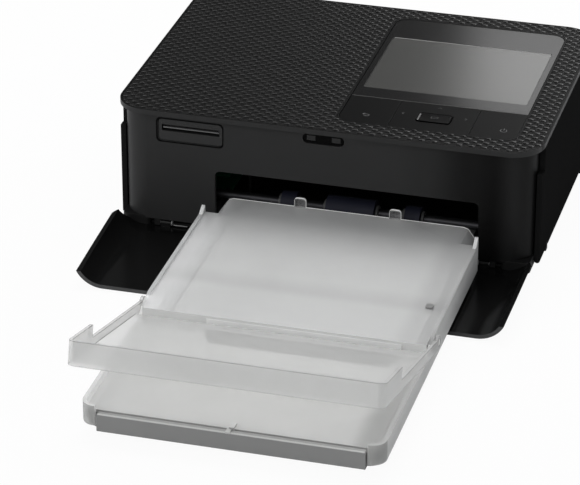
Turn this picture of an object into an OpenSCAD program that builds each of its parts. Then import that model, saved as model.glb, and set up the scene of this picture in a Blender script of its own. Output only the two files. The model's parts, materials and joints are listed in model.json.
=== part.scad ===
// Compact dye-sublimation photo printer with its paper cassette in place.
// X runs across the printer, Y runs from the cassette to the rear, Z is up, and Z = 0 is the table.
// Depths given as a setback are measured rearwards from the top cover's front edge.

/* [Body] */
// Width of the body beside the paper, on the side of the gears
gear_side = 50.7; // [50:0.1:55]
// Width of the body beside the paper, on the side of the ribbon
ribbon_side = 31.5; // [30:0.1:35]
// Depth of the body behind the feed roller
rear_room = 21.8; // [21:0.1:30]
// Height of the body above the table
body_h = 57.6; // [57:0.1:62]
// Radius of the body's vertical corners
corner_r = 14; // [11:0.5:16]
// Thickness of the moulded shells
shell_t = 2.2; // [1.8:0.1:2.4]
// Height of the rubber feet
foot_h = 1.4; // [1:0.1:1.6]
// Radius of a rubber foot
foot_r = 6; // [4:0.5:8]
// Distance from the part's origin back to the top cover's front edge
front_y = 22.2; // [15:0.1:30]

/* [Front panel] */
// Setback of the front panel's face
face_setback = 2.5; // [2.2:0.1:3.5]
// Inset of the front panel's ends from the cover's ends
face_inset = 2.6; // [2.6:0.1:4]
// Height of the front panel's lower edge
face_bottom = 5.7; // [5.6:0.1:6.5]
// Height of the paper mouth's top edge
mouth_top = 31.7; // [28:0.1:34]
// Radius of the mouth's top corners
mouth_r = 2.5; // [1:0.5:5]

/* [Card slot and door catch] */
// Distance of the card slot's centre from the body's left side
slot_in = 33.7; // [30:0.1:38]
// Depth of the card slot bezel's centre below the top
bezel_drop = 9.2; // [9:0.1:11]
// Height of the card slot bezel
bezel_h = 9.8; // [8:0.1:10]
// Width of the card slot
card_w = 25; // [24.5:0.1:26]
// Height of the card slot
card_t = 2.6; // [2.4:0.1:3]
// Depth of the door catch's centre below the top
catch_drop = 5.5; // [5.2:0.1:8]
// Length of the door catch
catch_w = 17.5; // [14:0.1:24]
// Height of the door catch
catch_h = 4.1; // [3.6:0.1:5]

/* [Side panels] */
// Thickness of the side panels
side_t = 2.5; // [2.2:0.1:2.5]
// Setback of the side panels' front edges
side_setback = 11; // [10.5:0.1:13]
// Height of the side panels' lower edge
side_bottom = 2.9; // [2.6:0.1:4]
// Height of the finger notch's lower edge
notch_z = 44; // [40:0.5:50]
// Depth of the finger notch
notch_d = 4; // [2:0.5:6]
// Length of the rear panel's side returns
rear_return = 14.5; // [14:0.5:18]

/* [Control panel] */
// Centre of the control panel, right of the body's centre
panel_x = 40.95; // [38:0.1:42]
// Width of the control panel
panel_w = 75.7; // [74:0.1:78]
// Setback of the control panel's front edge
panel_setback = 12; // [10:0.1:14]
// Border of the top cover behind the control panel
panel_border = 10.8; // [10:0.1:20]
// Radius of the control panel's corners
panel_r = 6; // [3:0.5:8]
// Depth of the row of keys
key_d = 25.6; // [24:0.1:27]
// Width of the menu key
menu_w = 21.8; // [18:0.1:24]
// Width of the power key
power_w = 19.8; // [16:0.1:22]
// Width of the confirm key
ok_w = 14.5; // [10:0.1:18]
// Depth of the confirm key
ok_d = 8.3; // [6:0.1:10]
// Travel of a key
key_travel = 0.4; // [0.2:0.05:0.5]
// Width of the display's picture
lcd_w = 71.1; // [60:0.1:72]
// Depth of the display's picture
lcd_d = 53.3; // [45:0.1:56]
// Setback of the display's centre
lcd_setback = 71.9; // [71.5:0.1:78]

/* [Front door] */
// Height of the front door's hinge axis
door_axis_z = 3.9; // [3.7:0.1:4]
// Setback of the front door's hinge axis
door_axis_setback = 3.7; // [3.6:0.1:4]
// Length of the front door from its hinge axis
door_l = 54.6; // [52:0.1:55]
// Thickness of the front door
door_t = 1.7; // [1.5:0.1:1.8]
// Gap between the front door and the table
door_gap = 0.8; // [0.6:0.1:1]
// Height of the front door's side walls at the hinge
door_wall_h = 9.4; // [8:0.1:9.8]
// Height of the front door's side walls at the free edge
door_tip_h = 6.8; // [5:0.1:8]

/* [Paper cassette] */
// Width of the paper
paper_w = 100; // [99:0.1:101]
// Length of the paper with its tear-off ends
paper_l = 178; // [170:0.5:179]
// Thickness of the stack of paper
stack_t = 2.8; // [1:0.1:2.8]
// Height of the cassette's underside
tray_z = 4.2; // [4.1:0.1:4.4]
// Wall thickness of the cassette
tray_t = 1.5; // [1.3:0.1:1.7]
// Length of the cassette's tongue behind the body's front edge
tongue_l = 23; // [22:0.1:23]
// Height of the output deck
deck_z = 17.6; // [17:0.1:18]
// Reach of the output deck in front of the body
deck_reach = 94.5; // [92:0.5:98]
// Height of the front plate of the cassette's cover
shelf_z = 11.6; // [11.2:0.1:11.8]
// Height of the front bar
bar_h = 7; // [6:0.1:7]

/* [Catch tray] */
// Tilt of the catch tray
lid_tilt = 15; // [14:0.5:18]
// Length of the catch tray from its pivot
lid_l = 92.5; // [88:0.5:95]
// Height of the catch tray's front wall
lid_wall_h = 9.6; // [8:0.1:12]
// Height of the catch tray's side rims
lid_rim_h = 4.5; // [4:0.1:5]
// Length of the catch tray's tall corners
lid_corner_l = 27; // [20:0.5:32]

/* [Paper transport] */
// Gear module
gear_m = 0.8; // [0.78:0.01:0.82]
// Radius of a roller shaft
shaft_r = 2; // [1.8:0.1:2.2]
// Radius of the pick-up roller
pickup_r = 5.5; // [5:0.1:5.6]
// Width of the pick-up roller
pickup_w = 20.8; // [16:0.1:24]
// Radius of the platen roller
platen_r = 6.5; // [6:0.1:6.6]
// Radius of the feed roller
feed_r = 4; // [3.5:0.1:4.2]
// Radius of the pinch roller
pinch_r = 3.5; // [3:0.1:3.6]
// Radius of the full ribbon roll
ribbon_r = 9.5; // [8:0.1:9.8]
// Radius of the used ribbon roll
used_r = 6; // [5:0.1:9]

/* [Hidden] */
$fn = 64;
eps = 0.01;
run_fit = 0.05;
gap = 0.3;
seam = 0.2;

// Case
feed_setback = 110;
body_w = gear_side + paper_w + ribbon_side;
body_d = feed_setback + rear_room;
slot_x = body_w / 2 - slot_in;
panel_d = body_d - panel_setback - panel_border;
paper_x = (gear_side - ribbon_side) / 2;
wall_top = body_h - shell_t;
floor_t = 2;
floor_top = foot_h + floor_t;
face_w = body_w - 2 * face_inset;
face_r = corner_r - 2;
face_back = face_setback + shell_t;
case_w = body_w - 2 * (side_t + gap);
case_r = corner_r - shell_t - seam;
case_wall = 1.6;
low_wall_top = 12;
wrap_end = side_setback + notch_d + 1.5;
rear_start = body_d - rear_return;
rear_in = body_d - shell_t;
case_rear = rear_in - seam;
lip_h = 1.6;
lip_t = 1.2;
vent_w = 2;
vent_z = [wall_top - 19.4, wall_top - 7.4];
side_vents = [8, 5, 74];
rear_vents = [16, 6, 46];
foot_in = [20, 22, 18];
screw_r = 1.5;
screw_head_r = 2.7;
screw_head_h = 1;
screw_step = [5, 12];

// Front door and its hinge
knuckle_r = 1.4;
knuckle_w = 4.2;
door_pin_r = 0.7;
door_ear_w = 2.4;
door_corner_r = 13.5;
door_roll_r = 12.5;
door_floor_z = door_gap + door_t;
door_back = door_axis_setback + 1.2;
striker = [18, 4, 0.4];
striker_in = 8;

// Ink door on the right
ink_axis_x = body_w / 2 - side_t / 2;
ink_axis_z = side_bottom + side_t / 2;
ink_pin_r = 0.7;
ink_pin_l = 8;
ink_ear_w = 3;
ink_ear_top = ink_axis_z + 1.3;
ink_ear_out = ink_axis_x + 1;
ink_ears = [side_setback + 16, rear_start - 14];

// Cassette
deck_w = paper_w + 1.4;
bar_w = paper_w + 4.7;
tongue_w = paper_w + 11;
mouth_gap = 1.2;
mouth_w = tongue_w + 2 * mouth_gap;
fin_over = 2.5;
tray_w = mouth_w + 2 * fin_over;
tray_half = tray_w / 2;
tongue_half = tongue_w / 2;
paper_back = tongue_l - 3;
bar_room = 10.5;
tray_reach = paper_l - paper_back + bar_room;
fin_reach = 8;
fin_top = deck_z + 2.4;
rail_top = deck_z + 0.9;
shelf_rail_top = shelf_z + 3.2;
tongue_deck = 7.2;
tab_x = 20.5;
tab_w = 5;
tab_h = 4.2;
plate_in = 1.2;
base_lip = 2;
base_inset = 0.9;
base_top = tray_z + base_lip;
bar_t = 3;
stack_wall = 1.2;
stack_side = paper_w / 2 + 0.8;
paper_z = tray_z + plate_in + 0.6;
tray_corner_r = 5.5;
door_pin_x = paper_x + tongue_half + knuckle_w / 2 + 2;

// Catch tray
lid_pin_r = 1.2;
lid_arm_t = 1.5;
lid_arm_r = 2.8;
lid_pivot = [-deck_reach + 8.5, deck_z - 2.8];
lid_in = tray_half + gap;
lid_out = lid_in + lid_arm_t;
lid_drop = 3.2;
lid_plate_t = 1.3;
lid_start = 11;
lid_corner_r = 3.5;

// Paper path and its axes, as [setback, height]
path_z = deck_z + 3.2;
film_gap = 0.3;
roller_l = paper_w + 2;
pickup_at = [14, deck_z - 2.2];
stack_wall_top = pickup_at[1] - pickup_r - 2 * seam;
platen_at = [64, path_z - platen_r];
feed_at = [feed_setback, path_z - feed_r];
pinch_at = feed_at + [0, feed_r + film_gap + pinch_r];
take_up_at = [46, path_z + 16.4];
supply_at = [92, path_z + 16.4];
side_roller_x = 26.8;
side_roller_w = 6.5;
side_roller_r = pickup_r - 0.5;
slot_side = 2;
slot_z = [path_z - 3, path_z + 4];

// Chassis
plate_t = 1.2;
bay_half = mouth_w / 2 + seam;
gear_room = 14.3;
chassis_l = case_wall + gear_room - case_w / 2;
chassis_r = paper_x + bay_half + 4.1;
chassis_front = 8;
chassis_rear = feed_at[0] + 5;
chassis_top = wall_top - 7.4;
tie_bar = 3;
pan_front = tongue_l + 5;
pan_top = floor_top + plate_t;
bush_r = shaft_r + 1.2;
pinch_pin_r = 1.5;
gear_x = chassis_l - 6;
gear_t = 4;
shaft_left = gear_x - 1;
shaft_right = chassis_r + 1.5;
guide_t = 1.2;
guide_gap = 1.5;
bay_guide_w = 1.2;
bay_guide_top = pickup_at[1] - shaft_r - 2 * gap;

// Gear teeth
platen_n = 28;
feed_n = 28;
idler_n = 30;
pinion_n = 12;
small_idler_n = 20;
pickup_n = 20;
take_up_n = 24;
post_r = 1.5;
washer_r = 2.5;
washer_t = 0.8;

// Ribbon cassette
tube_r = 11.5;
tube_t = 1;
ink_end_t = 2;
ink_l = paper_x - paper_w / 2 - 5.6;
ink_r = body_w / 2 - side_t - 2.6;
core_r = 4;
stub_r = 2;
ink_way = [1, 0.7];
ink_bay = [5.5, 1.7];
film_t = 0.2;
film_slack = 0.6;

// Motors, as [can radius, can length]
motor_pin_r = 1.5;
motor_pin_l = 11;
motor_gap = 4.4;
feed_can = [11, ink_l - motor_gap - chassis_l - plate_t];
feed_cap = [4, 1.5];
ribbon_can = [8, 18.8];

// Print head
head_arm_at = [30, path_z + 3.2];
head_pivot_r = 1.5;
head_boss_r = 3;
head_arm_w = 3;
head_x = [ink_l - 4, chassis_r - 6.6];
nip_z = path_z + 2 * film_gap + 0.3;
head_bar = [6, 2];
carrier_span = [platen_at[0] - 4, platen_at[0] + 12];
carrier_z = nip_z + head_bar[1];
carrier_t = 1.4;
sink_fins = [4, 4, 1.4];
sink_top = take_up_at[1] + 3.8;

// Control panel
board_t = 1.2;
control_board_z = wall_top - 4.4;
control_top = control_board_z + board_t;
ledge_w = 1.5;
ledge_t = 1.2;
key_top = body_h - 0.1;
key_t = 1.5;
key_back = panel_setback + key_d;
ok_rise = 0.3;
ok_r = 1.4;
boss_r = 1.5;
boss_hole_r = 0.9;
dome_r = 2;
dome_h = 1.2;
key_post_r = 1.2;
key_post_z = control_top + dome_h + key_travel + 0.1;
lcd_frame = [2, 6];

// Main board and ports
main_board_z = 7;
port_z = main_board_z + board_t;
board_w = 21.8;
board_x = [chassis_l + plate_t + 0.8, chassis_l + plate_t + 0.8 + board_w];
board_y = [pan_front + 2, rear_in - 2];
board_post_r = 2;
dc_w = 11;
dc_r = 4.5;
dc_bore_r = 2.9;
dc_pin_r = 0.9;
dc_d = 12;
dc_x = board_x[0] + 6.2;
usb_size = [8.9, 3.2];
usb_wall = 0.3;
usb_d = 7.5;
usb_x = board_x[1] - 5;
chips = [[4.4, 14, 13, 13, 1.6], [6.4, 36, 9, 6, 1.2]];
capacitors = [3, 6, 56];
capacitor = [2.5, 7];

// ---- Helpers ----

function yy(setback) = front_y + setback;
function pitch_r(n) = gear_m * n / 2;
function tip_r(n) = pitch_r(n) + 0.85 * gear_m;

// Point at distance ra from a and rb from b, on the upper side of the line a to b
function apex(a, b, ra, rb) =
    let (d = norm(b - a), u = (b - a) / d, k = (ra * ra - rb * rb + d * d) / (2 * d))
    a + k * u + sqrt(ra * ra - k * k) * [-u[1], u[0]];

// Direction from a to b, in degrees
function heading(a, b) = atan2(b[1] - a[1], b[0] - a[0]);

// Tooth angle of a gear with n_to teeth that meshes with a gear set at angle from
function mesh(psi, n_from, from, n_to) = psi + 180 - (0.5 - (psi - from) * n_from / 360) * 360 / n_to;

module rrect(w, d, r) {
    square([w - 2 * r, d], center = true);
    square([w, d - 2 * r], center = true);
    for (x = [-1, 1], y = [-1, 1])
        translate([x * (w / 2 - r), y * (d / 2 - r)]) circle(r);
}

// Rounded plate between two heights, with its front edge at a setback
module plan_plate(w, front, depth, r, z0, z1) {
    translate([0, yy(front + depth / 2), z0]) linear_extrude(z1 - z0) rrect(w, depth, r);
}

// Box from corner to corner, with its Y values as setbacks
module block(a, b) {
    translate([a[0], yy(a[1]), a[2]]) cube([b[0] - a[0], b[1] - a[1], b[2] - a[2]]);
}

// Profile drawn in setback and height, extruded along X
module along_x(x0, x1) {
    translate([x0, front_y, 0]) rotate([90, 0, 90]) linear_extrude(x1 - x0) children();
}

// Cylinder along X, centred on a setback and height
module rod(at, x0, x1, r) {
    along_x(min(x0, x1), max(x0, x1)) translate(at) circle(r);
}

module ring(at, x0, x1, r_out, r_in) {
    along_x(x0, x1) translate(at) difference() {
        circle(r_out);
        circle(r_in);
    }
}

// Shape drawn in X and Z, extruded rearwards from a setback
module along_y(y0, y1) {
    translate([0, yy(y1), 0]) rotate([90, 0, 0]) linear_extrude(y1 - y0) children();
}

// Upright cylinder at a place on the table plane
module upright(p, z0, z1, r) {
    translate([p[0], p[1], z0]) cylinder(r = r, h = z1 - z0);
}

// Spur gear outline with straight-sided teeth
module gear_2d(n, phase) {
    root = pitch_r(n) - 1.1 * gear_m;
    pitch_a = 360 / n;
    union() {
        circle(root);
        for (i = [0:n - 1]) rotate(phase + i * pitch_a)
            polygon([
                for (p = [[root - gap, -0.3], [tip_r(n), -0.11], [tip_r(n), 0.11], [root - gap, 0.3]])
                    [p[0] * cos(p[1] * pitch_a), p[0] * sin(p[1] * pitch_a)]
            ]);
    }
}

module gear(at, n, phase, bore) {
    along_x(gear_x, gear_x + gear_t) translate(at) difference() {
        gear_2d(n, phase);
        circle(bore);
    }
}

// ---- Gear train, as setbacks and heights ----

idler_at = apex(platen_at, feed_at, pitch_r(platen_n + idler_n), pitch_r(feed_n + idler_n));
pinion_dir = 78;
pinion_at = idler_at + pitch_r(idler_n + pinion_n) * [cos(pinion_dir), sin(pinion_dir)];
rear_idler_dir = 176;
rear_idler_at = platen_at
    + pitch_r(platen_n + small_idler_n) * [cos(rear_idler_dir), sin(rear_idler_dir)];
front_idler_at = apex(pickup_at, rear_idler_at,
    pitch_r(pickup_n + small_idler_n), pitch_r(2 * small_idler_n));
ribbon_dir = -5;
ribbon_pinion_at = take_up_at + pitch_r(take_up_n + pinion_n) * [cos(ribbon_dir), sin(ribbon_dir)];

idler_phase = mesh(heading(platen_at, idler_at), platen_n, 0, idler_n);
feed_phase = mesh(heading(idler_at, feed_at), idler_n, idler_phase, feed_n);
pinion_phase = mesh(heading(idler_at, pinion_at), idler_n, idler_phase, pinion_n);
rear_idler_phase = mesh(heading(platen_at, rear_idler_at), platen_n, 0, small_idler_n);
front_idler_phase =
    mesh(heading(rear_idler_at, front_idler_at), small_idler_n, rear_idler_phase, small_idler_n);
pickup_phase =
    mesh(heading(front_idler_at, pickup_at), small_idler_n, front_idler_phase, pickup_n);
ribbon_phase = mesh(heading(take_up_at, ribbon_pinion_at), take_up_n, 0, pinion_n);

// ---- Case ----

foot_places = [
    for (x = [-1, 1], y = [foot_in[1], body_d - foot_in[2]]) [x * (body_w / 2 - foot_in[0]), yy(y)]
];
screw_places = [
    for (x = [-1, 1], y = [foot_in[1] + screw_step[1], body_d - foot_in[2] - screw_step[1]])
        [x * (body_w / 2 - foot_in[0] - screw_step[0]), yy(y)]
];
board_posts = [
    for (x = [board_x[0] + 3, board_x[1] - 3], y = [board_y[0] + 12, board_y[1] - 20]) [x, yy(y)]
];

module bottom_case() color("dimgray") difference() {
    union() {
        plan_plate(case_w, door_back + gap, case_rear - door_back - gap, case_r, foot_h, floor_top);
        low_wall();
        for (s = [-1, 1]) door_ear(s);
        for (y = ink_ears) ink_ear(y);
        for (s = [-1, 1]) bay_guide(s);
        for (p = board_posts) upright(p, foot_h, main_board_z, board_post_r);
    }
    for (s = [-1, 1])
        rod([door_axis_setback, door_axis_z], s * door_pin_x, s * (door_pin_x + 2 * knuckle_w),
            door_pin_r + run_fit);
    for (y = ink_ears) ink_pin(y, ink_pin_r + run_fit);
    for (p = screw_places) {
        upright(p, 0, foot_h + screw_head_h, screw_head_r + seam);
        upright(p, 0, body_h, screw_r + run_fit);
    }
    // Relief under the platen gear
    rod(platen_at, gear_x - gap, gear_x + gear_t + gap, tip_r(platen_n) + gap);
    // Room for the ports
    block([dc_x - dc_w / 2 - seam, case_rear - case_wall - 1, port_z - seam],
        [usb_x + usb_size[0] / 2 + seam, body_d, body_h]);
}

module low_wall() difference() {
    plan_plate(case_w, face_setback, case_rear - face_setback, case_r, foot_h, low_wall_top);
    plan_plate(case_w - 2 * case_wall, face_setback - case_wall, case_rear - face_setback,
        case_r - case_wall, 0, body_h);
    block([-body_w, 0, 0], [body_w, wrap_end + gap, body_h]);
}

// Ear that carries a pin of the front door
module door_ear(s) {
    x0 = s * (door_pin_x + knuckle_w / 2 + gap);
    x1 = x0 + s * door_ear_w;
    block([min(x0, x1), door_axis_setback - 1.2, door_floor_z + gap],
        [max(x0, x1), door_back + 2, face_bottom - seam]);
}

// Ear that carries a pin of the ink door
module ink_ear(y) {
    block([case_w / 2 - 1, y - ink_ear_w / 2, foot_h],
        [ink_ear_out, y + ink_ear_w / 2, ink_ear_top]);
}

// Guide beside the cassette bay
module bay_guide(s) {
    x0 = paper_x + s * bay_half;
    x1 = x0 + s * bay_guide_w;
    block([min(x0, x1), wrap_end - 9, foot_h], [max(x0, x1), tongue_l + 2, bay_guide_top]);
}

module ink_pin(y, r) {
    translate([ink_axis_x, yy(y) + ink_pin_l / 2, ink_axis_z]) rotate([90, 0, 0])
        cylinder(r = r, h = ink_pin_l);
}

module plan_plate_at_panel(w, d, r, z0, z1) {
    translate([panel_x, yy(panel_setback + panel_d / 2), z0]) linear_extrude(z1 - z0) rrect(w, d, r);
}

panel_bosses = [
    for (x = [-1, 1], y = [key_d + 1.9, panel_d - 4])
        [panel_x + x * (panel_w / 2 - 3), yy(panel_setback + y)]
];

module top_cover() color("#2b2b2d") difference() {
    union() {
        plan_plate(body_w, 0, body_d, corner_r, wall_top, body_h);
        cover_lip();
        // Ledge that carries the screen window
        plan_plate_at_panel(panel_w + 4, panel_d + 4, panel_r + 2, wall_top - ledge_t, wall_top);
        for (p = panel_bosses) upright(p, control_top, wall_top, boss_r);
    }
    // Opening for the keys and the window, above the ledge
    plan_plate_at_panel(panel_w + 2 * seam, panel_d + 2 * seam, panel_r + seam, wall_top, body_h + 1);
    difference() {
        plan_plate_at_panel(panel_w - 2 * ledge_w, panel_d - 2 * ledge_w, panel_r - ledge_w, 0, body_h);
        for (p = panel_bosses) upright(p, 0, body_h, boss_r);
    }
    block([panel_x - panel_w / 2 - seam, panel_setback - seam, 0],
        [panel_x + panel_w / 2 + seam, key_back - seam, wall_top + eps]);
}

// Lip that locates the cover inside the walls
module cover_lip() {
    w = face_w - 2 * shell_t - 2 * seam;
    r = face_r - shell_t - seam;
    d = case_rear - face_back - seam;
    difference() {
        plan_plate(w, face_back + seam, d, r, wall_top - lip_h, wall_top);
        plan_plate(w - 2 * lip_t, face_back + seam + lip_t, d - 2 * lip_t, r - lip_t, 0, wall_top);
    }
}

module front_panel() color("#303033") difference() {
    intersection() {
        difference() {
            plan_plate(face_w, face_setback, body_d - 2 * face_setback, face_r, face_bottom, wall_top);
            plan_plate(face_w - 2 * shell_t, face_back, body_d - 2 * face_back, face_r - shell_t,
                0, body_h);
        }
        block([-body_w, 0, 0], [body_w, wrap_end, body_h]);
    }
    along_y(0, face_back + 1) {
        translate([paper_x, mouth_top / 2]) rrect(mouth_w, mouth_top, mouth_r);
        translate([paper_x - mouth_w / 2, 0]) square([mouth_w, mouth_top / 2]);
        bezel_outline(seam);
        catch_outline(seam);
    }
}

bezel_z = body_h - bezel_drop;
card_z = bezel_z + 0.9;
catch_z = body_h - catch_drop;

module bezel_outline(grow) {
    translate([-slot_x, bezel_z])
        rrect(card_w + 2.8 + 2 * grow, bezel_h + 2 * grow, 1.5 + grow);
}

module catch_outline(grow) {
    translate([0, catch_z]) rrect(catch_w + 2 * grow, catch_h + 2 * grow, catch_h / 2 + grow - eps);
}

module side_outline() difference() {
    translate([side_setback, side_bottom])
        square([rear_start - seam - side_setback, wall_top - seam - side_bottom]);
    translate([side_setback - 1, notch_z]) square([notch_d + 1, body_h]);
}

module left_side_panel() color("#28282a") difference() {
    along_x(-body_w / 2, -body_w / 2 + side_t) side_outline();
    for (i = [0:side_vents[0] - 1]) {
        y = side_vents[2] + i * side_vents[1];
        block([-body_w, y, vent_z[0]], [0, y + vent_w, vent_z[1]]);
    }
}

module right_side_frame() color("dimgray") difference() {
    block([case_w / 2 - case_wall, wrap_end + gap, low_wall_top],
        [case_w / 2, rear_start, wall_top - lip_h - seam]);
    block([0, take_up_at[0] - tube_r - ink_bay[0], take_up_at[1] - tube_r - ink_bay[1]],
        [body_w, supply_at[0] + tube_r + ink_bay[0], supply_at[1] + tube_r + ink_bay[1]]);
}

module rear_panel() color("#28282a") difference() {
    intersection() {
        difference() {
            plan_plate(body_w, 0, body_d, corner_r, side_bottom, wall_top);
            plan_plate(body_w - 2 * shell_t, shell_t, body_d - 2 * shell_t, corner_r - shell_t,
                0, body_h);
        }
        block([-body_w, rear_start, 0], [body_w, body_d + 1, body_h]);
    }
    block([paper_x - roller_l / 2 - slot_side, rear_in - 1, slot_z[0]],
        [paper_x + roller_l / 2 + slot_side, body_d + 1, slot_z[1]]);
    along_y(rear_in - 1, body_d + 1) {
        translate(dc_at) circle(dc_r + seam);
        translate(usb_at) rrect(usb_size[0] + seam, usb_size[1] + seam, usb_size[1] / 2);
    }
    for (i = [0:rear_vents[0] - 1]) {
        x = paper_x - rear_vents[2] + i * rear_vents[1];
        block([x, rear_in - 1, vent_z[0]], [x + vent_w, body_d + 1, vent_z[1]]);
    }
}

module rubber_feet() color("#1a1a1a")
    for (p = foot_places) upright(p, 0, foot_h, foot_r);

module case_screws() color("silver")
    for (p = screw_places) difference() {
        union() {
            upright(p, foot_h, foot_h + screw_head_h, screw_head_r);
            upright(p, foot_h, pan_top + screw_head_h, screw_r);
        }
        for (a = [0, 90]) translate([p[0], p[1], foot_h]) rotate(a)
            cube([3.6, 0.6, 1.2], center = true);
    }

module card_opening(depth) {
    along_y(0, depth) translate([-slot_x, card_z]) square([card_w, card_t], center = true);
}

module card_slot_bezel() color("#3a3a3d") difference() {
    along_y(face_setback, face_back) bezel_outline(0);
    card_opening(face_back + 1);
    // Finger ramp under the slot
    along_x(-slot_x - card_w / 2, -slot_x + card_w / 2)
        polygon([[0, bezel_z - 1], [face_setback + 1.3, bezel_z - 0.4],
            [face_setback + 1.3, bezel_z + 1], [0, bezel_z + 1]]);
}

module card_reader() color("silver") difference() {
    block([-slot_x - card_w / 2 - 1, face_back, card_z - card_t / 2 - 1.5],
        [-slot_x + card_w / 2 + 1, face_back + 29, card_z + card_t / 2 + 1.4]);
    card_opening(face_back + 27);
}

module door_catch() color("#18181a") difference() {
    along_y(face_setback + 0.4, face_back) catch_outline(0);
    for (s = [-1, 1]) magnet(s, face_setback);
}

module magnet(s, front) {
    along_y(front, face_setback + 1.6)
        translate([s * (catch_w / 2 - 3.4), catch_z]) square([4, catch_h - 1.6], center = true);
}

module catch_magnets() color("gray")
    for (s = [-1, 1]) magnet(s, face_setback + 0.6);

// ---- Control panel ----

menu_right = panel_x - panel_w / 2 + menu_w;
power_left = panel_x + panel_w / 2 - power_w;
nav_x = (menu_right + power_left) / 2;
menu_x = menu_right - menu_w / 2;
key_rows = [panel_setback + 8, panel_setback + 12, panel_setback + 20];

// Posts under each key, as X and setback
menu_posts = [[menu_x, key_rows[0]], [menu_x, key_rows[2]]];
nav_posts = [[menu_right + 5, key_rows[1]], [power_left - 5, key_rows[1]], [nav_x, key_rows[2] + 1.5]];
ok_post = [nav_x, key_rows[1]];
power_post = [power_left + power_w / 2, key_rows[1]];

module panel_piece(x0, x1, y0, y1, z0, z1) intersection() {
    plan_plate_at_panel(panel_w, panel_d, panel_r, z0, z1);
    block([x0, y0, z0], [x1, y1, z1]);
}

module key_post(p) {
    upright([p[0], yy(p[1])], key_post_z, key_top - key_t + eps, key_post_r);
}

module key_plate(x0, x1) {
    panel_piece(x0, x1, 0, key_back - seam, key_top - key_t, key_top);
}

module screen_window() color("#0c0c0e")
    panel_piece(-body_w, body_w, key_back + seam, body_d, wall_top, key_top);

module lcd_module() color("#606468")
    block([panel_x - lcd_w / 2 - lcd_frame[0] / 2, lcd_setback - lcd_d / 2 - lcd_frame[1] / 2,
        control_top], [panel_x + lcd_w / 2 + lcd_frame[0] / 2,
        lcd_setback + lcd_d / 2 + lcd_frame[1] / 2, wall_top - ledge_t - 0.1]);

module control_board() color("#0b5a33") difference() {
    block([panel_x - panel_w / 2 + seam, panel_setback + 2, control_board_z],
        [panel_x + panel_w / 2 - seam, panel_setback + panel_d - 1, control_top]);
    for (p = panel_bosses) upright(p, 0, body_h, boss_hole_r);
}

module switch_domes() color("silver")
    for (p = concat(menu_posts, nav_posts, [ok_post, power_post]))
        upright([p[0], yy(p[1])], control_top, control_top + dome_h, dome_r);

module menu_key() color("#101012") {
    key_plate(-body_w, menu_right - seam / 2);
    for (p = menu_posts) key_post(p);
}

module ok_outline(grow) {
    translate([ok_post[0], yy(ok_post[1])])
        rrect(ok_w + 2 * grow, ok_d + 2 * grow, ok_r + grow);
}

module nav_key() color("#101012") {
    difference() {
        key_plate(menu_right + seam / 2, power_left - seam / 2);
        linear_extrude(body_h) ok_outline(seam);
    }
    for (p = nav_posts) key_post(p);
}

module ok_key() color("#101012") {
    translate([0, 0, key_top - key_t]) linear_extrude(key_t + ok_rise) ok_outline(0);
    key_post(ok_post);
}

module power_key() color("#101012") {
    key_plate(power_left + seam / 2, body_w);
    key_post(power_post);
}

// ---- Front door, open and lying forward ----

// Cross-section of the door's trough, inset from its outer face
module door_section(inset) {
    w = body_w - 2 * inset;
    translate([0, door_gap + door_roll_r]) {
        rrect(w, 2 * door_roll_r - 2 * inset, door_roll_r - inset);
        translate([-w / 2, 0]) square([w, body_h]);
    }
}

module front_door() color("#1f1f21") {
    intersection() {
        along_y(-door_l, door_back) difference() {
            door_section(0);
            door_section(door_t);
        }
        // Plan with rounded free corners
        translate([0, yy(door_back - door_l), 0])
            linear_extrude(body_h) rrect(body_w, 2 * door_l, door_corner_r);
        // Side view, where the walls fall towards the free edge
        along_x(-body_w, body_w) polygon([
            [door_back, 0], [door_back, door_gap + door_wall_h],
            [-door_l, door_gap + door_tip_h], [-door_l, 0]
        ]);
    }
    for (s = [-1, 1]) door_knuckle(s);
}

module door_knuckle(s) {
    x0 = s * door_pin_x - knuckle_w / 2;
    difference() {
        union() {
            rod([door_axis_setback, door_axis_z], x0, x0 + knuckle_w, knuckle_r);
            block([x0, door_axis_setback - knuckle_r, door_floor_z - eps],
                [x0 + knuckle_w, door_axis_setback + knuckle_r, door_axis_z]);
        }
        rod([door_axis_setback, door_axis_z], x0 - 1, x0 + knuckle_w + 1, door_pin_r);
    }
}

module door_pins() color("silver")
    for (s = [-1, 1])
        rod([door_axis_setback, door_axis_z], s * (door_pin_x - knuckle_w / 2),
            s * (door_pin_x + knuckle_w / 2 + door_ear_w), door_pin_r);

module door_striker() color("silver")
    block([-striker[0] / 2, striker_in - door_l, door_floor_z],
        [striker[0] / 2, striker_in + striker[1] - door_l, door_floor_z + striker[2]]);

// ---- Ink door on the right side ----

module ink_door() color("#28282a") difference() {
    union() {
        along_x(body_w / 2 - side_t, body_w / 2) difference() {
            side_outline();
            square([body_d, ink_axis_z]);
        }
        along_y(side_setback, rear_start - seam)
            translate([ink_axis_x, ink_axis_z]) circle(side_t / 2);
    }
    for (y = ink_ears) {
        block([0, y - ink_ear_w / 2 - gap, 0],
            [body_w, y + ink_ear_w / 2 + gap, ink_ear_top + 2 * seam]);
        ink_pin(y, ink_pin_r);
    }
}

module ink_door_pins() color("silver")
    for (y = ink_ears) ink_pin(y, ink_pin_r);

// ---- Paper cassette ----

// Rounded plan between two reaches, in front of and behind the body's front edge
module cassette_plan(front, back, w, r) {
    translate([paper_x, yy((back - front) / 2)]) rrect(w, back + front, r);
}

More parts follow.
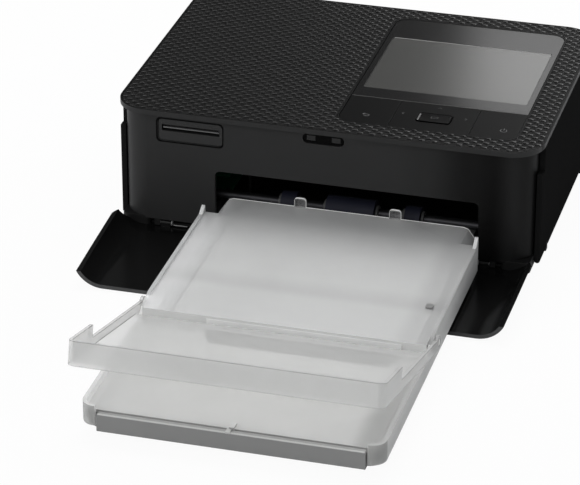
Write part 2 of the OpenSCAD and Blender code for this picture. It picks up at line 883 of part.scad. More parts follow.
module cassette_base() color("#7d7d7b") difference() {
    union() {
        translate([0, 0, tray_z]) linear_extrude(base_lip) {
            cassette_plan(tray_reach - bar_t, -fin_reach - 1, tray_w - 2 * base_inset,
                tray_corner_r + 1);
            cassette_plan(tray_reach - bar_t, tongue_l, tongue_w, bar_t);
        }
        block([paper_x - bar_w / 2, -tray_reach, tray_z],
            [paper_x + bar_w / 2, bar_t - tray_reach, tray_z + bar_h]);
        // Walls around the stack of paper
        block([paper_x - stack_side - stack_wall, bar_t + 2 - tray_reach, tray_z],
            [paper_x + stack_side + stack_wall, tongue_l, stack_wall_top]);
    }
    block([paper_x - stack_side, bar_t + 3 - tray_reach, tray_z + plate_in],
        [paper_x + stack_side, tongue_l - 2, body_h]);
}

// Side view of a cassette side wall
module side_wall_outline() {
    front = bar_t + 3 - tray_reach;
    polygon([
        [-fin_reach, base_top], [-fin_reach, fin_top], [-fin_reach - 5, rail_top],
        [lid_pivot[0] + 4, rail_top], [lid_pivot[0] - 5, deck_z - 1.5],
        [-deck_reach - 1.5, shelf_z + 1.2], [-deck_reach - 30, shelf_rail_top],
        [front, shelf_rail_top], [front, base_top]
    ]);
}

// Half of the plan on one side of the front bar
module beside_bar(s) {
    translate([paper_x + s * (bar_w / 2 + 2 * gap + body_w), yy(bar_t + 3 - tray_reach) - body_w])
        square(2 * body_w, center = true);
}

module cassette_cover() color([0.9, 0.9, 0.88, 0.8]) difference() {
    union() {
        for (s = [-1, 1]) {
            x = paper_x + s * (tray_half - tray_t / 2);
            along_x(x - tray_t / 2, x + tray_t / 2) side_wall_outline();
            // Rounded corner beside the front bar
            translate([0, 0, base_top]) linear_extrude(shelf_rail_top - base_top) intersection() {
                difference() {
                    cassette_plan(tray_reach - 0.5, 0, tray_w, tray_corner_r);
                    cassette_plan(tray_reach - 0.5 - tray_t, 0, tray_w - 2 * tray_t,
                        tray_corner_r - tray_t);
                }
                beside_bar(s);
            }
            // Tab that holds the stack down
            x_tab = paper_x + s * tab_x;
            block([x_tab - tab_w / 2, tongue_deck - plate_in, deck_z - 2 * plate_in],
                [x_tab + tab_w / 2, tongue_deck, deck_z + tab_h]);
        }
        // Output deck, riser and front plate
        inner_plate(-deck_reach, -fin_reach, deck_z - plate_in, deck_z);
        inner_plate(-deck_reach, plate_in - deck_reach, shelf_z - plate_in, deck_z);
        inner_plate(bar_t + 0.6 - tray_reach, -deck_reach, shelf_z - plate_in, shelf_z);
        // Rib behind the front bar
        block([paper_x - 1, bar_t - tray_reach, shelf_z - plate_in],
            [paper_x + 1, bar_t + 4 - tray_reach, shelf_z + 0.8]);
        tongue();
    }
    for (s = [-1, 1])
        rod(lid_pivot, paper_x + s * (tray_half - 4), paper_x + s * (tray_half + 4), lid_pin_r);
}

// Plate between the inner faces of the cassette's side walls
module inner_plate(y0, y1, z0, z1) {
    block([paper_x - tray_half + tray_t, y0, z0], [paper_x + tray_half - tray_t, y1, z1]);
}

// Half outline of the tongue, inset from its outer face
function tongue_side(inset) = [
    [tongue_half - inset, inset > 0 ? 0 : base_top], [tongue_half - inset, deck_z - 6 - inset / 2],
    [deck_w / 2 + 1 - 0.65 * inset, deck_z - 0.6 - 0.85 * inset],
    [deck_w / 2 - 1 - 0.4 * inset, deck_z - 0.8 * inset]
];

module tongue_outline(inset) {
    side = tongue_side(inset);
    translate([paper_x, 0])
        polygon(concat(side, [for (i = [len(side) - 1:-1:0]) [-side[i][0], side[i][1]]]));
}

module tongue() difference() {
    along_y(-fin_reach - eps, tongue_deck) tongue_outline(0);
    along_y(-fin_reach - 1, tongue_deck + 1) tongue_outline(tray_t);
}

module cassette_pivots() color("#d8d8d4")
    for (s = [-1, 1])
        rod(lid_pivot, paper_x + s * (tray_half - tray_t), paper_x + s * lid_out, lid_pin_r);

module paper_stack() color("white")
    block([paper_x - paper_w / 2, paper_back - paper_l, paper_z],
        [paper_x + paper_w / 2, paper_back, paper_z + stack_t]);

// ---- Catch tray, raised in front of the deck ----

// Places a shape whose X runs out from the pivot and whose Z is square to the tray
module on_lid() {
    translate([paper_x, yy(lid_pivot[0]), lid_pivot[1]]) rotate([-lid_tilt, 0, 0]) children();
}

// Outline of the tray seen square to its plate, inset from its outer edge
module lid_outline(inset) {
    w = 2 * (lid_out - inset);
    translate([0, -lid_l / 2]) difference() {
        rrect(w, lid_l - 2 * inset, lid_corner_r - inset);
        translate([-w, lid_l / 2 - 2 * lid_corner_r]) square([2 * w, lid_l]);
    }
    translate([-w / 2, -2 * lid_corner_r - 1]) square([w, 2 * lid_corner_r + 1]);
}

// Wall around the tray from its front edge back to a length
module lid_wall(length, h) {
    translate([0, 0, -lid_drop]) linear_extrude(h) difference() {
        lid_outline(0);
        lid_outline(lid_arm_t);
        translate([-tray_w, length - lid_l]) square(2 * tray_w);
        translate([lid_arm_t - lid_out, lid_corner_r - lid_l])
            square([2 * (lid_out - lid_arm_t), 2 * lid_l]);
    }
}

module catch_tray() color([0.92, 0.92, 0.9, 0.7]) on_lid() difference() {
    union() {
        translate([0, 0, -lid_drop]) linear_extrude(lid_plate_t) difference() {
            lid_outline(0);
            translate([-tray_w, -lid_start]) square(2 * tray_w);
        }
        lid_wall(lid_corner_l, lid_wall_h);
        lid_wall(lid_l, lid_rim_h);
        for (s = [-1, 1]) translate([s * (lid_in + lid_arm_t / 2) - lid_arm_t / 2, 0, 0])
            rotate([0, 90, 0]) cylinder(r = lid_arm_r, h = lid_arm_t);
    }
    translate([-tray_w, 0, 0]) rotate([0, 90, 0]) cylinder(r = lid_pin_r + run_fit, h = 2 * tray_w);
}

// ---- Chassis ----

shaft_places = [pickup_at, platen_at, feed_at];
post_places = [idler_at, rear_idler_at, front_idler_at];

module side_plate(x0) difference() {
    block([x0, chassis_front, floor_top], [x0 + plate_t, chassis_rear, chassis_top]);
    for (p = shaft_places) rod(p, x0 - 1, x0 + plate_t + 1, bush_r);
    rod(pinch_at, x0 - 1, x0 + plate_t + 1, pinch_pin_r + run_fit);
    rod(head_arm_at, x0 - 1, x0 + plate_t + 1, head_pivot_r);
}

module chassis_frame() color("silver") difference() {
    union() {
        side_plate(chassis_l);
        side_plate(chassis_r - plate_t);
        block([chassis_l, pan_front, floor_top], [chassis_r, chassis_rear, pan_top]);
        block([chassis_l, chassis_rear - tie_bar, chassis_top - tie_bar],
            [chassis_r, chassis_rear, chassis_top]);
    }
    // Way in for the ribbon cassette
    block([0, take_up_at[0] - tube_r - ink_way[0], take_up_at[1] - tube_r - ink_way[1]],
        [body_w, supply_at[0] + tube_r + ink_way[0], body_h]);
    for (p = post_places) rod(p, chassis_l - 1, chassis_l + plate_t + 1, post_r);
    for (p = [pinion_at, ribbon_pinion_at])
        rod(p, chassis_l - 1, chassis_l + plate_t + 1, motor_pin_r + 0.5);
    rod(take_up_at, chassis_l - 1, chassis_l + plate_t + 1, stub_r + run_fit);
    for (p = screw_places) upright(p, 0, pan_top + 1, screw_r + run_fit);
    for (p = board_posts) upright(p, 0, pan_top + 1, board_post_r + seam);
}

module shaft_bushes() color("tan")
    for (x = [chassis_l, chassis_r - plate_t], p = shaft_places)
        ring(p, x, x + plate_t, bush_r, shaft_r + run_fit);

module paper_guide(y0, y1) difference() {
    block([paper_x - roller_l / 2, y0, pan_top], [paper_x + roller_l / 2, y1, path_z - 0.6]);
    block([paper_x - roller_l / 2 + guide_t, y0 - 1, 0],
        [paper_x + roller_l / 2 - guide_t, y1 + 1, path_z - 0.6 - guide_t]);
}

module paper_guides() color("#2a2a2c") {
    paper_guide(pan_front + 6, platen_at[0] - platen_r - guide_gap);
    paper_guide(platen_at[0] + platen_r + guide_gap, feed_at[0] - feed_r - guide_gap);
}

// ---- Rollers and gears ----

module shaft(at) {
    rod(at, shaft_left, shaft_right, shaft_r);
}

// Sleeve on a shaft, centred on the paper path
module sleeve(at, middle, w, r) {
    ring(at, paper_x + middle - w / 2, paper_x + middle + w / 2, r, shaft_r);
}

module pickup_shaft() color("silver") shaft(pickup_at);

module pickup_rollers() color("#23233a") {
    sleeve(pickup_at, 0, pickup_w, pickup_r);
    for (s = [-1, 1]) sleeve(pickup_at, s * side_roller_x, side_roller_w, side_roller_r);
}

module pickup_gear() color("ivory") gear(pickup_at, pickup_n, pickup_phase, shaft_r);

module platen_shaft() color("silver") shaft(platen_at);

module platen_roller() color("#202022") sleeve(platen_at, 0, roller_l, platen_r);

module platen_gear() color("ivory") gear(platen_at, platen_n, 0, shaft_r);

module feed_roller() color("gray") {
    shaft(feed_at);
    rod(feed_at, paper_x - roller_l / 2, paper_x + roller_l / 2, feed_r);
}

module feed_gear() color("ivory") gear(feed_at, feed_n, feed_phase, shaft_r);

module pinch_roller() color("gray") {
    rod(pinch_at, chassis_l - 1, chassis_r + 1, pinch_pin_r);
    rod(pinch_at, paper_x - roller_l / 2, paper_x + roller_l / 2, pinch_r);
}

module idler_gear() color("ivory") gear(idler_at, idler_n, idler_phase, post_r + run_fit);

module pickup_idler_rear() color("ivory")
    gear(rear_idler_at, small_idler_n, rear_idler_phase, post_r + run_fit);

module pickup_idler_front() color("ivory")
    gear(front_idler_at, small_idler_n, front_idler_phase, post_r + run_fit);

// Posts with a spacer behind each gear and a washer in front of it
module gear_posts() color("silver") for (p = post_places) {
    rod(p, gear_x - seam - washer_t, chassis_l + plate_t, post_r);
    ring(p, gear_x + gear_t + seam, chassis_l, washer_r, post_r);
    rod(p, gear_x - seam - washer_t, gear_x - seam, washer_r);
}

// Motor behind the left plate, with a bore for its pinion's pin
module motor(at, can, cap) difference() {
    union() {
        rod(at, chassis_l + plate_t, chassis_l + plate_t + can[1], can[0]);
        rod(at, chassis_l + plate_t, chassis_l + plate_t + can[1] + cap[1], cap[0]);
    }
    rod(at, chassis_l, chassis_l + motor_pin_l + 1, motor_pin_r + run_fit);
}

module pinion(at, phase) {
    gear(at, pinion_n, phase, motor_pin_r);
    rod(at, gear_x - 0.5, chassis_l + motor_pin_l, motor_pin_r);
}

module feed_motor() color("gray") motor(pinion_at, feed_can, feed_cap);

module motor_pinion() color("goldenrod") pinion(pinion_at, pinion_phase);

// ---- Print head ----

module print_head() color("#d9d4c6")
    block([paper_x - roller_l / 2, platen_at[0] - head_bar[0] / 2, nip_z],
        [paper_x + roller_l / 2, platen_at[0] + head_bar[0] / 2, carrier_z]);

module head_carrier() color("silver") difference() {
    union() {
        for (x = head_x) {
            block([x, head_arm_at[0], carrier_z - carrier_t], [x + head_arm_w, carrier_span[1],
                carrier_z + carrier_t]);
            rod(head_arm_at, x, x + head_arm_w, head_boss_r);
        }
        block([head_x[0], carrier_span[0], carrier_z],
            [head_x[1] + head_arm_w, carrier_span[1], carrier_z + carrier_t]);
        // Fins of the heat sink
        for (i = [0:sink_fins[0] - 1]) {
            y = carrier_span[0] + i * sink_fins[1];
            block([paper_x - roller_l / 2, y, carrier_z],
                [paper_x + roller_l / 2, y + sink_fins[2], sink_top]);
        }
    }
    rod(head_arm_at, -body_w, body_w, head_pivot_r + run_fit);
}

module head_pivot() color("silver") rod(head_arm_at, chassis_l, chassis_r, head_pivot_r);

// ---- Ribbon cassette ----

module ink_cassette() color("#c8702a") difference() {
    union() {
        for (p = [take_up_at, supply_at]) rod(p, ink_l, ink_r, tube_r);
        for (x = [ink_l, ink_r - ink_end_t])
            block([x, take_up_at[0], take_up_at[1] + tube_r - 4.5],
                [x + ink_end_t, supply_at[0], take_up_at[1] + tube_r]);
    }
    for (p = [take_up_at, supply_at]) {
        rod(p, ink_l + ink_end_t, ink_r - ink_end_t, tube_r - tube_t);
        rod(p, ink_l - 1, ink_r + 1, stub_r + run_fit);
    }
    // Slots where the film leaves and enters the tubes
    block([ink_l + ink_end_t, take_up_at[0], 0],
        [ink_r - ink_end_t, take_up_at[0] + tube_r, take_up_at[1] - core_r]);
    block([ink_l + ink_end_t, supply_at[0] - tube_r, 0],
        [ink_r - ink_end_t, supply_at[0], supply_at[1] - core_r]);
}

module ribbon_film() color("#3a2f6b") {
    low = path_z + film_gap;
    route = [
        [take_up_at[0] + 2, take_up_at[1] - used_r - film_slack], [platen_at[0] - 6, low],
        [platen_at[0] + 6, low], [supply_at[0] - 2, supply_at[1] - ribbon_r - film_slack]
    ];
    along_x(paper_x - paper_w / 2, paper_x + paper_w / 2)
        polygon(concat(route, [for (i = [len(route) - 1:-1:0]) route[i] + [0, film_t]]));
}

module spool(at, left, roll_r) {
    rod(at, ink_l + ink_end_t + gap, ink_r - ink_end_t - gap, core_r);
    rod(at, paper_x - paper_w / 2, paper_x + paper_w / 2, roll_r);
    rod(at, left, ink_r, stub_r);
}

module take_up_spool() color("#d8d8d8") spool(take_up_at, shaft_left, used_r);

module take_up_gear() color("ivory") gear(take_up_at, take_up_n, 0, stub_r);

module supply_spool() color("#3a2f6b") spool(supply_at, ink_l - 2, ribbon_r);

module ribbon_motor() color("gray") motor(ribbon_pinion_at, ribbon_can, [shaft_r, 0]);

module ribbon_pinion() color("goldenrod") pinion(ribbon_pinion_at, ribbon_phase);

// ---- Electronics ----

dc_at = [dc_x, port_z + dc_w / 2];
usb_at = [usb_x, port_z + usb_size[1] / 2];

module main_board() {
    color("#0b5a33")
        block([board_x[0], board_y[0], main_board_z], [board_x[1], board_y[1], port_z]);
    color("#222222") {
        for (c = chips)
            translate([board_x[0] + c[0], yy(board_y[0] + c[1]), port_z]) cube([c[2], c[3], c[4]]);
        for (i = [0:capacitors[0] - 1])
            upright([board_x[0] + 4.9 + i * capacitors[1], yy(board_y[0] + capacitors[2])],
                port_z, port_z + capacitor[1], capacitor[0]);
    }
}

module rear_ports() color("#1c1c1e") {
    difference() {
        union() {
            block([dc_x - dc_w / 2, rear_in - dc_d, port_z], [dc_x + dc_w / 2, case_rear, port_z + dc_w]);
            along_y(rear_in - 1, body_d - gap) translate(dc_at) circle(dc_r);
        }
        along_y(rear_in - dc_d + 3, body_d + 1) translate(dc_at) circle(dc_bore_r);
    }
    along_y(rear_in - dc_d + 3 - eps, rear_in - 0.8) translate(dc_at) circle(dc_pin_r);
    difference() {
        along_y(rear_in - usb_d, body_d - seam) usb_outline(0);
        along_y(rear_in - usb_d + 1, body_d + 1) usb_outline(usb_wall);
    }
}

module usb_outline(inset) {
    translate(usb_at)
        rrect(usb_size[0] - 2 * inset, usb_size[1] - 2 * inset, usb_size[1] / 2 - inset - 0.1);
}

bottom_case();
top_cover();
front_panel();
left_side_panel();
right_side_frame();
rear_panel();
rubber_feet();
case_screws();
card_slot_bezel();
card_reader();
door_catch();
catch_magnets();
screen_window();
lcd_module();
control_board();
switch_domes();
menu_key();
nav_key();
ok_key();
power_key();
front_door();
door_striker();
door_pins();
ink_door();
ink_door_pins();
cassette_base();
cassette_cover();
cassette_pivots();
paper_stack();
catch_tray();
chassis_frame();
shaft_bushes();
paper_guides();
pickup_shaft();
pickup_rollers();
pickup_gear();
platen_shaft();
platen_roller();
platen_gear();
feed_roller();
feed_gear();
pinch_roller();
idler_gear();
pickup_idler_rear();
pickup_idler_front();
gear_posts();
feed_motor();
motor_pinion();
print_head();
head_carrier();
head_pivot();
ink_cassette();
ribbon_film();
take_up_spool();
take_up_gear();
supply_spool();
ribbon_motor();
ribbon_pinion();
main_board();
rear_ports();
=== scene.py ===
import json
import math

import bmesh
import bpy
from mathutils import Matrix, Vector


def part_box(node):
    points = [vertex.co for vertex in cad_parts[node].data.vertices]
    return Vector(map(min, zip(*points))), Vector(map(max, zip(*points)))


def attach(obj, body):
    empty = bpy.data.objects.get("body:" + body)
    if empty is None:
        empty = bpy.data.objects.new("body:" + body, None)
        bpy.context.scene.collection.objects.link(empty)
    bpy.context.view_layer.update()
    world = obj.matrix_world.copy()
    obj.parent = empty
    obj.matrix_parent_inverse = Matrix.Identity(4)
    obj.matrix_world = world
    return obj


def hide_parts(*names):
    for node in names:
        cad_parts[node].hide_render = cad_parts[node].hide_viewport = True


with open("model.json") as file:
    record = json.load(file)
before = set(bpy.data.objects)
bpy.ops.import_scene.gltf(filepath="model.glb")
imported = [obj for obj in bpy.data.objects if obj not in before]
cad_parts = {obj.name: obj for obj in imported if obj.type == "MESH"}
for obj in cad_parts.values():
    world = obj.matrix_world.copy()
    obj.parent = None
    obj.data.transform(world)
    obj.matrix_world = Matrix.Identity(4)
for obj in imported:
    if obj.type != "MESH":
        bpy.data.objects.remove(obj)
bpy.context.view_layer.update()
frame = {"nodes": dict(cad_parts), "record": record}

# ---- Camera ----
# A long lens stands in front of the printer, a little to its right, and looks down
# on the keys and into the paper cassette.
camera = bpy.data.objects.new("camera", bpy.data.cameras.new("camera"))
camera.location = (0.3024, -1.1194, 0.6217)
camera_aim = Vector((-0.2365, 0.8545, -0.4625))
camera.rotation_euler = camera_aim.to_track_quat("-Z", "Y").to_euler()
camera.data.lens = 197.2
camera.data.sensor_width = 36
bpy.context.collection.objects.link(camera)
bpy.context.scene.camera = camera
bpy.context.scene.view_settings.view_transform = "Standard"

# ---- Room ----
# A pale table that runs out to white under an even ceiling. Soft lamps stand above, on
# the left and in front, and two behind, whose light slides over the cover and the screen.


def seen_directly(nodes, links):
    """Says 1 where the eye sees a surface itself, or sees it through clear plastic."""
    path = nodes.new("ShaderNodeLightPath")
    seen = nodes.new("ShaderNodeMath")
    seen.operation = "MAXIMUM"
    links.new(path.outputs["Is Camera Ray"], seen.inputs[0])
    links.new(path.outputs["Is Transmission Ray"], seen.inputs[1])
    return seen.outputs[0]


def blend(nodes, links, share, first, second):
    """Mixes two shaders by a share of the second."""
    mix = nodes.new("ShaderNodeMixShader")
    links.new(share, mix.inputs["Fac"])
    links.new(first, mix.inputs[1])
    links.new(second, mix.inputs[2])
    return mix.outputs[0]


room = bpy.data.worlds.new("room")
bpy.context.scene.world = room
room.use_nodes = True
nodes, links = room.node_tree.nodes, room.node_tree.links
nodes.clear()
ceiling = nodes.new("ShaderNodeBackground")
ceiling.inputs["Color"].default_value = (0.95, 0.97, 1, 1)
ceiling.inputs["Strength"].default_value = 0.4
white = nodes.new("ShaderNodeBackground")
white.inputs["Strength"].default_value = 1

# Polished faces mirror a sky that is white low down and dark overhead.
direction = nodes.new("ShaderNodeTexCoord")
split = nodes.new("ShaderNodeSeparateXYZ")
links.new(direction.outputs["Generated"], split.inputs[0])
horizon = nodes.new("ShaderNodeMapRange")
horizon.interpolation_type = "SMOOTHSTEP"
horizon.inputs["From Min"].default_value = 0.04
horizon.inputs["From Max"].default_value = 0.3
horizon.inputs["To Min"].default_value = 1
horizon.inputs["To Max"].default_value = 0.12
links.new(split.outputs["Z"], horizon.inputs["Value"])
sky = nodes.new("ShaderNodeBackground")
links.new(horizon.outputs[0], sky.inputs["Strength"])
gloss = nodes.new("ShaderNodeLightPath").outputs["Is Glossy Ray"]
around = blend(nodes, links, gloss, ceiling.outputs[0], sky.outputs[0])
walls = blend(nodes, links, seen_directly(nodes, links), around, white.outputs[0])
links.new(walls, nodes.new("ShaderNodeOutputWorld").inputs["Surface"])


def lamp(name, at, aim, size, watts, mirrored=True):
    """Soft rectangular lamp turned to a point of the printer."""
    light = bpy.data.lights.new(name, "AREA")
    light.shape = "RECTANGLE"
    light.size, light.size_y = size
    light.energy = watts
    stand = bpy.data.objects.new(name, light)
    stand.location = at
    stand.rotation_euler = (Vector(aim) - Vector(at)).to_track_quat("-Z", "Y").to_euler()
    bpy.context.collection.objects.link(stand)
    stand.visible_glossy = mirrored


lamp("lamp_above", at=(-0.1, 0.5, 1.15), aim=(0, -0.05, 0), size=(1.0, 0.7), watts=9,
     mirrored=False)
lamp("lamp_behind", at=(0.28, 0.72, 0.42), aim=(0.03, 0.08, 0.05), size=(0.36, 0.3), watts=1.5)
lamp("lamp_screen", at=(0.015, 0.72, 0.345), aim=(0.05, 0.1, 0.05), size=(0.2, 0.12), watts=0.17)
lamp("lamp_left", at=(-1.1, -0.9, 0.7), aim=(-0.05, 0, 0.02), size=(0.35, 0.9), watts=6)
lamp("lamp_front", at=(-0.2, -1.3, 0.9), aim=(0, -0.05, 0.02), size=(1.0, 0.7), watts=3)

bpy.ops.object.select_all(action="DESELECT")
bpy.ops.mesh.primitive_plane_add(size=30)
table = bpy.context.object
table.name = "table"
table_white = bpy.data.materials.new("table_white")
table_white.use_nodes = True
nodes, links = table_white.node_tree.nodes, table_white.node_tree.links
nodes.clear()
matt = nodes.new("ShaderNodeBsdfDiffuse")
matt.inputs["Color"].default_value = (0.7, 0.7, 0.7, 1)
glow = nodes.new("ShaderNodeEmission")
glow.inputs["Strength"].default_value = 1
whiteness = nodes.new("ShaderNodeMath")
whiteness.operation = "MULTIPLY"
whiteness.inputs[1].default_value = 0.95
links.new(seen_directly(nodes, links), whiteness.inputs[0])
top = blend(nodes, links, whiteness.outputs[0], matt.outputs[0], glow.outputs[0])
links.new(top, nodes.new("ShaderNodeOutputMaterial").inputs["Surface"])
table.data.materials.append(table_white)

# ---- Case shells ----
# Front, rear and side mouldings in black plastic with a fine spark-eroded grain. They
# snap onto the lower case, so only the fine seams between them show.
mm_per_m = 1000


def grain_group():
    """Fine mould grain, its size in millimetres, over a slow mottle."""
    group = bpy.data.node_groups.new("mould_grain", "ShaderNodeTree")
    for name, value in (("Size", 0.4), ("Roughness", 0.5), ("Spread", 0.06)):
        group.interface.new_socket(
            name=name, in_out="INPUT", socket_type="NodeSocketFloat").default_value = value
    for name in ("Roughness", "Shade", "Height"):
        group.interface.new_socket(name=name, in_out="OUTPUT", socket_type="NodeSocketFloat")
    nodes, links = group.nodes, group.links
    inlet, outlet = nodes.new("NodeGroupInput"), nodes.new("NodeGroupOutput")
    place = nodes.new("ShaderNodeTexCoord")
    pitch = nodes.new("ShaderNodeMath")
    pitch.operation = "DIVIDE"
    pitch.inputs[0].default_value = mm_per_m
    links.new(inlet.outputs["Size"], pitch.inputs[1])
    fine = nodes.new("ShaderNodeTexNoise")
    fine.inputs["Detail"].default_value = 3
    links.new(place.outputs["Object"], fine.inputs["Vector"])
    links.new(pitch.outputs[0], fine.inputs["Scale"])
    slow = nodes.new("ShaderNodeTexNoise")
    slow.inputs["Scale"].default_value = 35
    slow.inputs["Detail"].default_value = 4
    links.new(place.outputs["Object"], slow.inputs["Vector"])
    centred = nodes.new("ShaderNodeMath")
    centred.operation = "SUBTRACT"
    centred.inputs[1].default_value = 0.5
    links.new(slow.outputs["Fac"], centred.inputs[0])
    rough = nodes.new("ShaderNodeMath")
    rough.operation = "MULTIPLY_ADD"
    links.new(centred.outputs[0], rough.inputs[0])
    links.new(inlet.outputs["Spread"], rough.inputs[1])
    links.new(inlet.outputs["Roughness"], rough.inputs[2])
    shade = nodes.new("ShaderNodeMapRange")
    shade.inputs["To Min"].default_value = 0.92
    shade.inputs["To Max"].default_value = 1.08
    links.new(slow.outputs["Fac"], shade.inputs["Value"])
    links.new(rough.outputs[0], outlet.inputs["Roughness"])
    links.new(shade.outputs[0], outlet.inputs["Shade"])
    links.new(fine.outputs["Fac"], outlet.inputs["Height"])
    return group


mould_grain = grain_group()


def multiplied(nodes, links, colour, factor):
    """Multiplies one colour by another."""
    tint = nodes.new("ShaderNodeMix")
    tint.data_type = "RGBA"
    tint.blend_type = "MULTIPLY"
    tint.inputs["Factor"].default_value = 1
    if isinstance(colour, tuple):
        tint.inputs["A"].default_value = (*colour, 1)
    else:
        links.new(colour, tint.inputs["A"])
    links.new(factor, tint.inputs["B"])
    return tint.outputs["Result"]


def surface(name, colour, roughness, grain=0.4, depth=0.01, specular=0.3, spread=0.08, **fixed):
    """Finish with the fine grain of its mould or tool, given by size and depth in
    millimetres. Further sockets of its shader are given by name."""
    material = bpy.data.materials.new(name)
    material.use_nodes = True
    nodes, links = material.node_tree.nodes, material.node_tree.links
    shader = nodes["Principled BSDF"]
    skin = nodes.new("ShaderNodeGroup")
    skin.node_tree = mould_grain
    skin.inputs["Size"].default_value = grain
    skin.inputs["Roughness"].default_value = roughness
    skin.inputs["Spread"].default_value = spread
    shaded = multiplied(nodes, links, colour, skin.outputs["Shade"])
    links.new(shaded, shader.inputs["Base Color"])
    links.new(skin.outputs["Roughness"], shader.inputs["Roughness"])
    relief = nodes.new("ShaderNodeBump")
    relief.inputs["Strength"].default_value = 1
    relief.inputs["Distance"].default_value = depth / mm_per_m
    links.new(skin.outputs["Height"], relief.inputs["Height"])
    links.new(relief.outputs["Normal"], shader.inputs["Normal"])
    shader.inputs["Specular IOR Level"].default_value = specular
    for socket, value in fixed.items():
        shader.inputs[socket.replace("_", " ")].default_value = value
    return material


def banded(material, axis, low, high, stops):
    """Multiplies a material's colour by soft bands between two places on one axis. Each
    stop is a share of the way and a level."""
    nodes, links = material.node_tree.nodes, material.node_tree.links
    place = nodes.new("ShaderNodeTexCoord")
    split = nodes.new("ShaderNodeSeparateXYZ")
    links.new(place.outputs["Object"], split.inputs[0])
    reach = nodes.new("ShaderNodeMapRange")
    reach.inputs["From Min"].default_value = low
    reach.inputs["From Max"].default_value = high
    links.new(split.outputs[axis], reach.inputs["Value"])
    ramp = nodes.new("ShaderNodeValToRGB")
    ramp.color_ramp.interpolation = "EASE"
    for spot, level in stops:
        stop = ramp.color_ramp.elements.new(spot)
        stop.color = (level, level, level, 1)
    ramp.color_ramp.elements.remove(ramp.color_ramp.elements[0])
    ramp.color_ramp.elements.remove(ramp.color_ramp.elements[-1])
    links.new(reach.outputs[0], ramp.inputs["Fac"])
    colour = nodes["Principled BSDF"].inputs["Base Color"]
    plain = colour.links[0].from_socket
    links.new(multiplied(nodes, links, plain, ramp.outputs["Color"]), colour)


def seat(piece, node):
    """Lets a piece stand for a node: it rides where the node rides, and the node is hidden."""
    for body, members in frame["record"]["behaviour"]["bodies"].items():
        if node in members:
            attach(piece, body)
    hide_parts(node)


def moulding(node, material):
    """Merged copy of a node's mesh, ready to be shaped."""
    source = frame["nodes"][node]
    piece = bpy.data.objects.new(node + "_shell", source.data.copy())
    bpy.context.collection.objects.link(piece)
    piece.data.materials.clear()
    piece.data.materials.append(material)
    bpy.ops.object.select_all(action="DESELECT")
    piece.select_set(True)
    bpy.context.view_layer.objects.active = piece
    bpy.ops.object.mode_set(mode="EDIT")
    bpy.ops.mesh.select_all(action="SELECT")
    bpy.ops.mesh.remove_doubles(threshold=2e-6)
    bpy.ops.mesh.dissolve_limited(angle_limit=math.radians(0.6))
    bpy.ops.object.mode_set(mode="OBJECT")
    seat(piece, node)
    return piece


def rounded(piece, edge, angle=35, segments=2, edge_material=None):
    """Rounds a moulding's sharp edges, by a width in millimetres, and shades it smooth,
    with its flat faces kept flat."""
    bpy.ops.object.select_all(action="DESELECT")
    piece.select_set(True)
    bpy.context.view_layer.objects.active = piece
    bevel = piece.modifiers.new("edge", "BEVEL")
    bevel.width = edge / mm_per_m
    bevel.segments = segments
    bevel.limit_method = "ANGLE"
    bevel.angle_limit = math.radians(angle)
    if edge_material:
        piece.data.materials.append(edge_material)
        bevel.material = 1
    bpy.ops.object.modifier_apply(modifier="edge")
    bpy.ops.object.shade_smooth_by_angle(angle=math.radians(32))
    flat = piece.modifiers.new("flat", "WEIGHTED_NORMAL")
    flat.keep_sharp = True
    bpy.ops.object.modifier_apply(modifier="flat")
    return piece


def coat(material, *names):
    """Gives CAD nodes their finish."""
    for name in names:
        frame["nodes"][name].data.materials.clear()
        frame["nodes"][name].data.materials.append(material)


case_black = surface("case_black", (0.018, 0.018, 0.018), 0.42, grain=0.3, depth=0.008)
side_black = surface("side_black", (0.012, 0.012, 0.012), 0.42, grain=0.3, depth=0.004,
                     specular=0)
inner_black = surface("inner_black", (0.01, 0.01, 0.01), 0.55)
panel_black = surface("panel_black", (0.028, 0.028, 0.028), 0.42, grain=0.3, depth=0.008,
                      specular=0.12)

# Painted shade darkens the panel towards its right end, where it curves round to the side, with
# one narrow band of painted highlight near the corner.
banded(panel_black, "X", 0.03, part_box("front_panel")[1][0],
       ((0.01, 1), (0.2, 0.85), (0.55, 0.22), (0.72, 0.1), (0.86, 0.5), (0.97, 0.15)))
rounded(moulding("front_panel", panel_black), 0.25)
rounded(moulding("rear_panel", case_black), 0.25)
for node in ("left_side_panel", "ink_door"):
    rounded(moulding(node, side_black), 0.3)
rounded(moulding("bottom_case", inner_black), 0.15)
coat(inner_black, "right_side_frame", "paper_guides", "rear_ports")

# ---- Corner feet ----
# The lower case is squarer at its front corners than the panel above, so a small dark foot of it
# stands out under each; it is partly painted shade, filling the shadow under the panel's rounded
# corners.
foot_inner, foot_bottom, foot_length, foot_corner = 0.0762, 0.0016, 0.035, 0.002
behind_face, above_seam = 0.0001, 0.001


def pick(piece, kind, wanted):
    """Opens a piece for shaping, with only the wanted corners, edges or faces selected."""
    bpy.ops.object.mode_set(mode="EDIT")
    bpy.ops.mesh.select_mode(type=kind)
    bpy.ops.mesh.select_all(action="DESELECT")
    mesh = bmesh.from_edit_mesh(piece.data)
    for part in {"VERT": mesh.verts, "EDGE": mesh.edges, "FACE": mesh.faces}[kind]:
        part.select = wanted(part)
    bmesh.update_edit_mesh(piece.data)


def runs_along(edge, axis):
    """True for an edge that lies nearly along an axis."""
    run = edge.verts[0].co - edge.verts[1].co
    return abs(run[axis]) > 0.9 * run.length


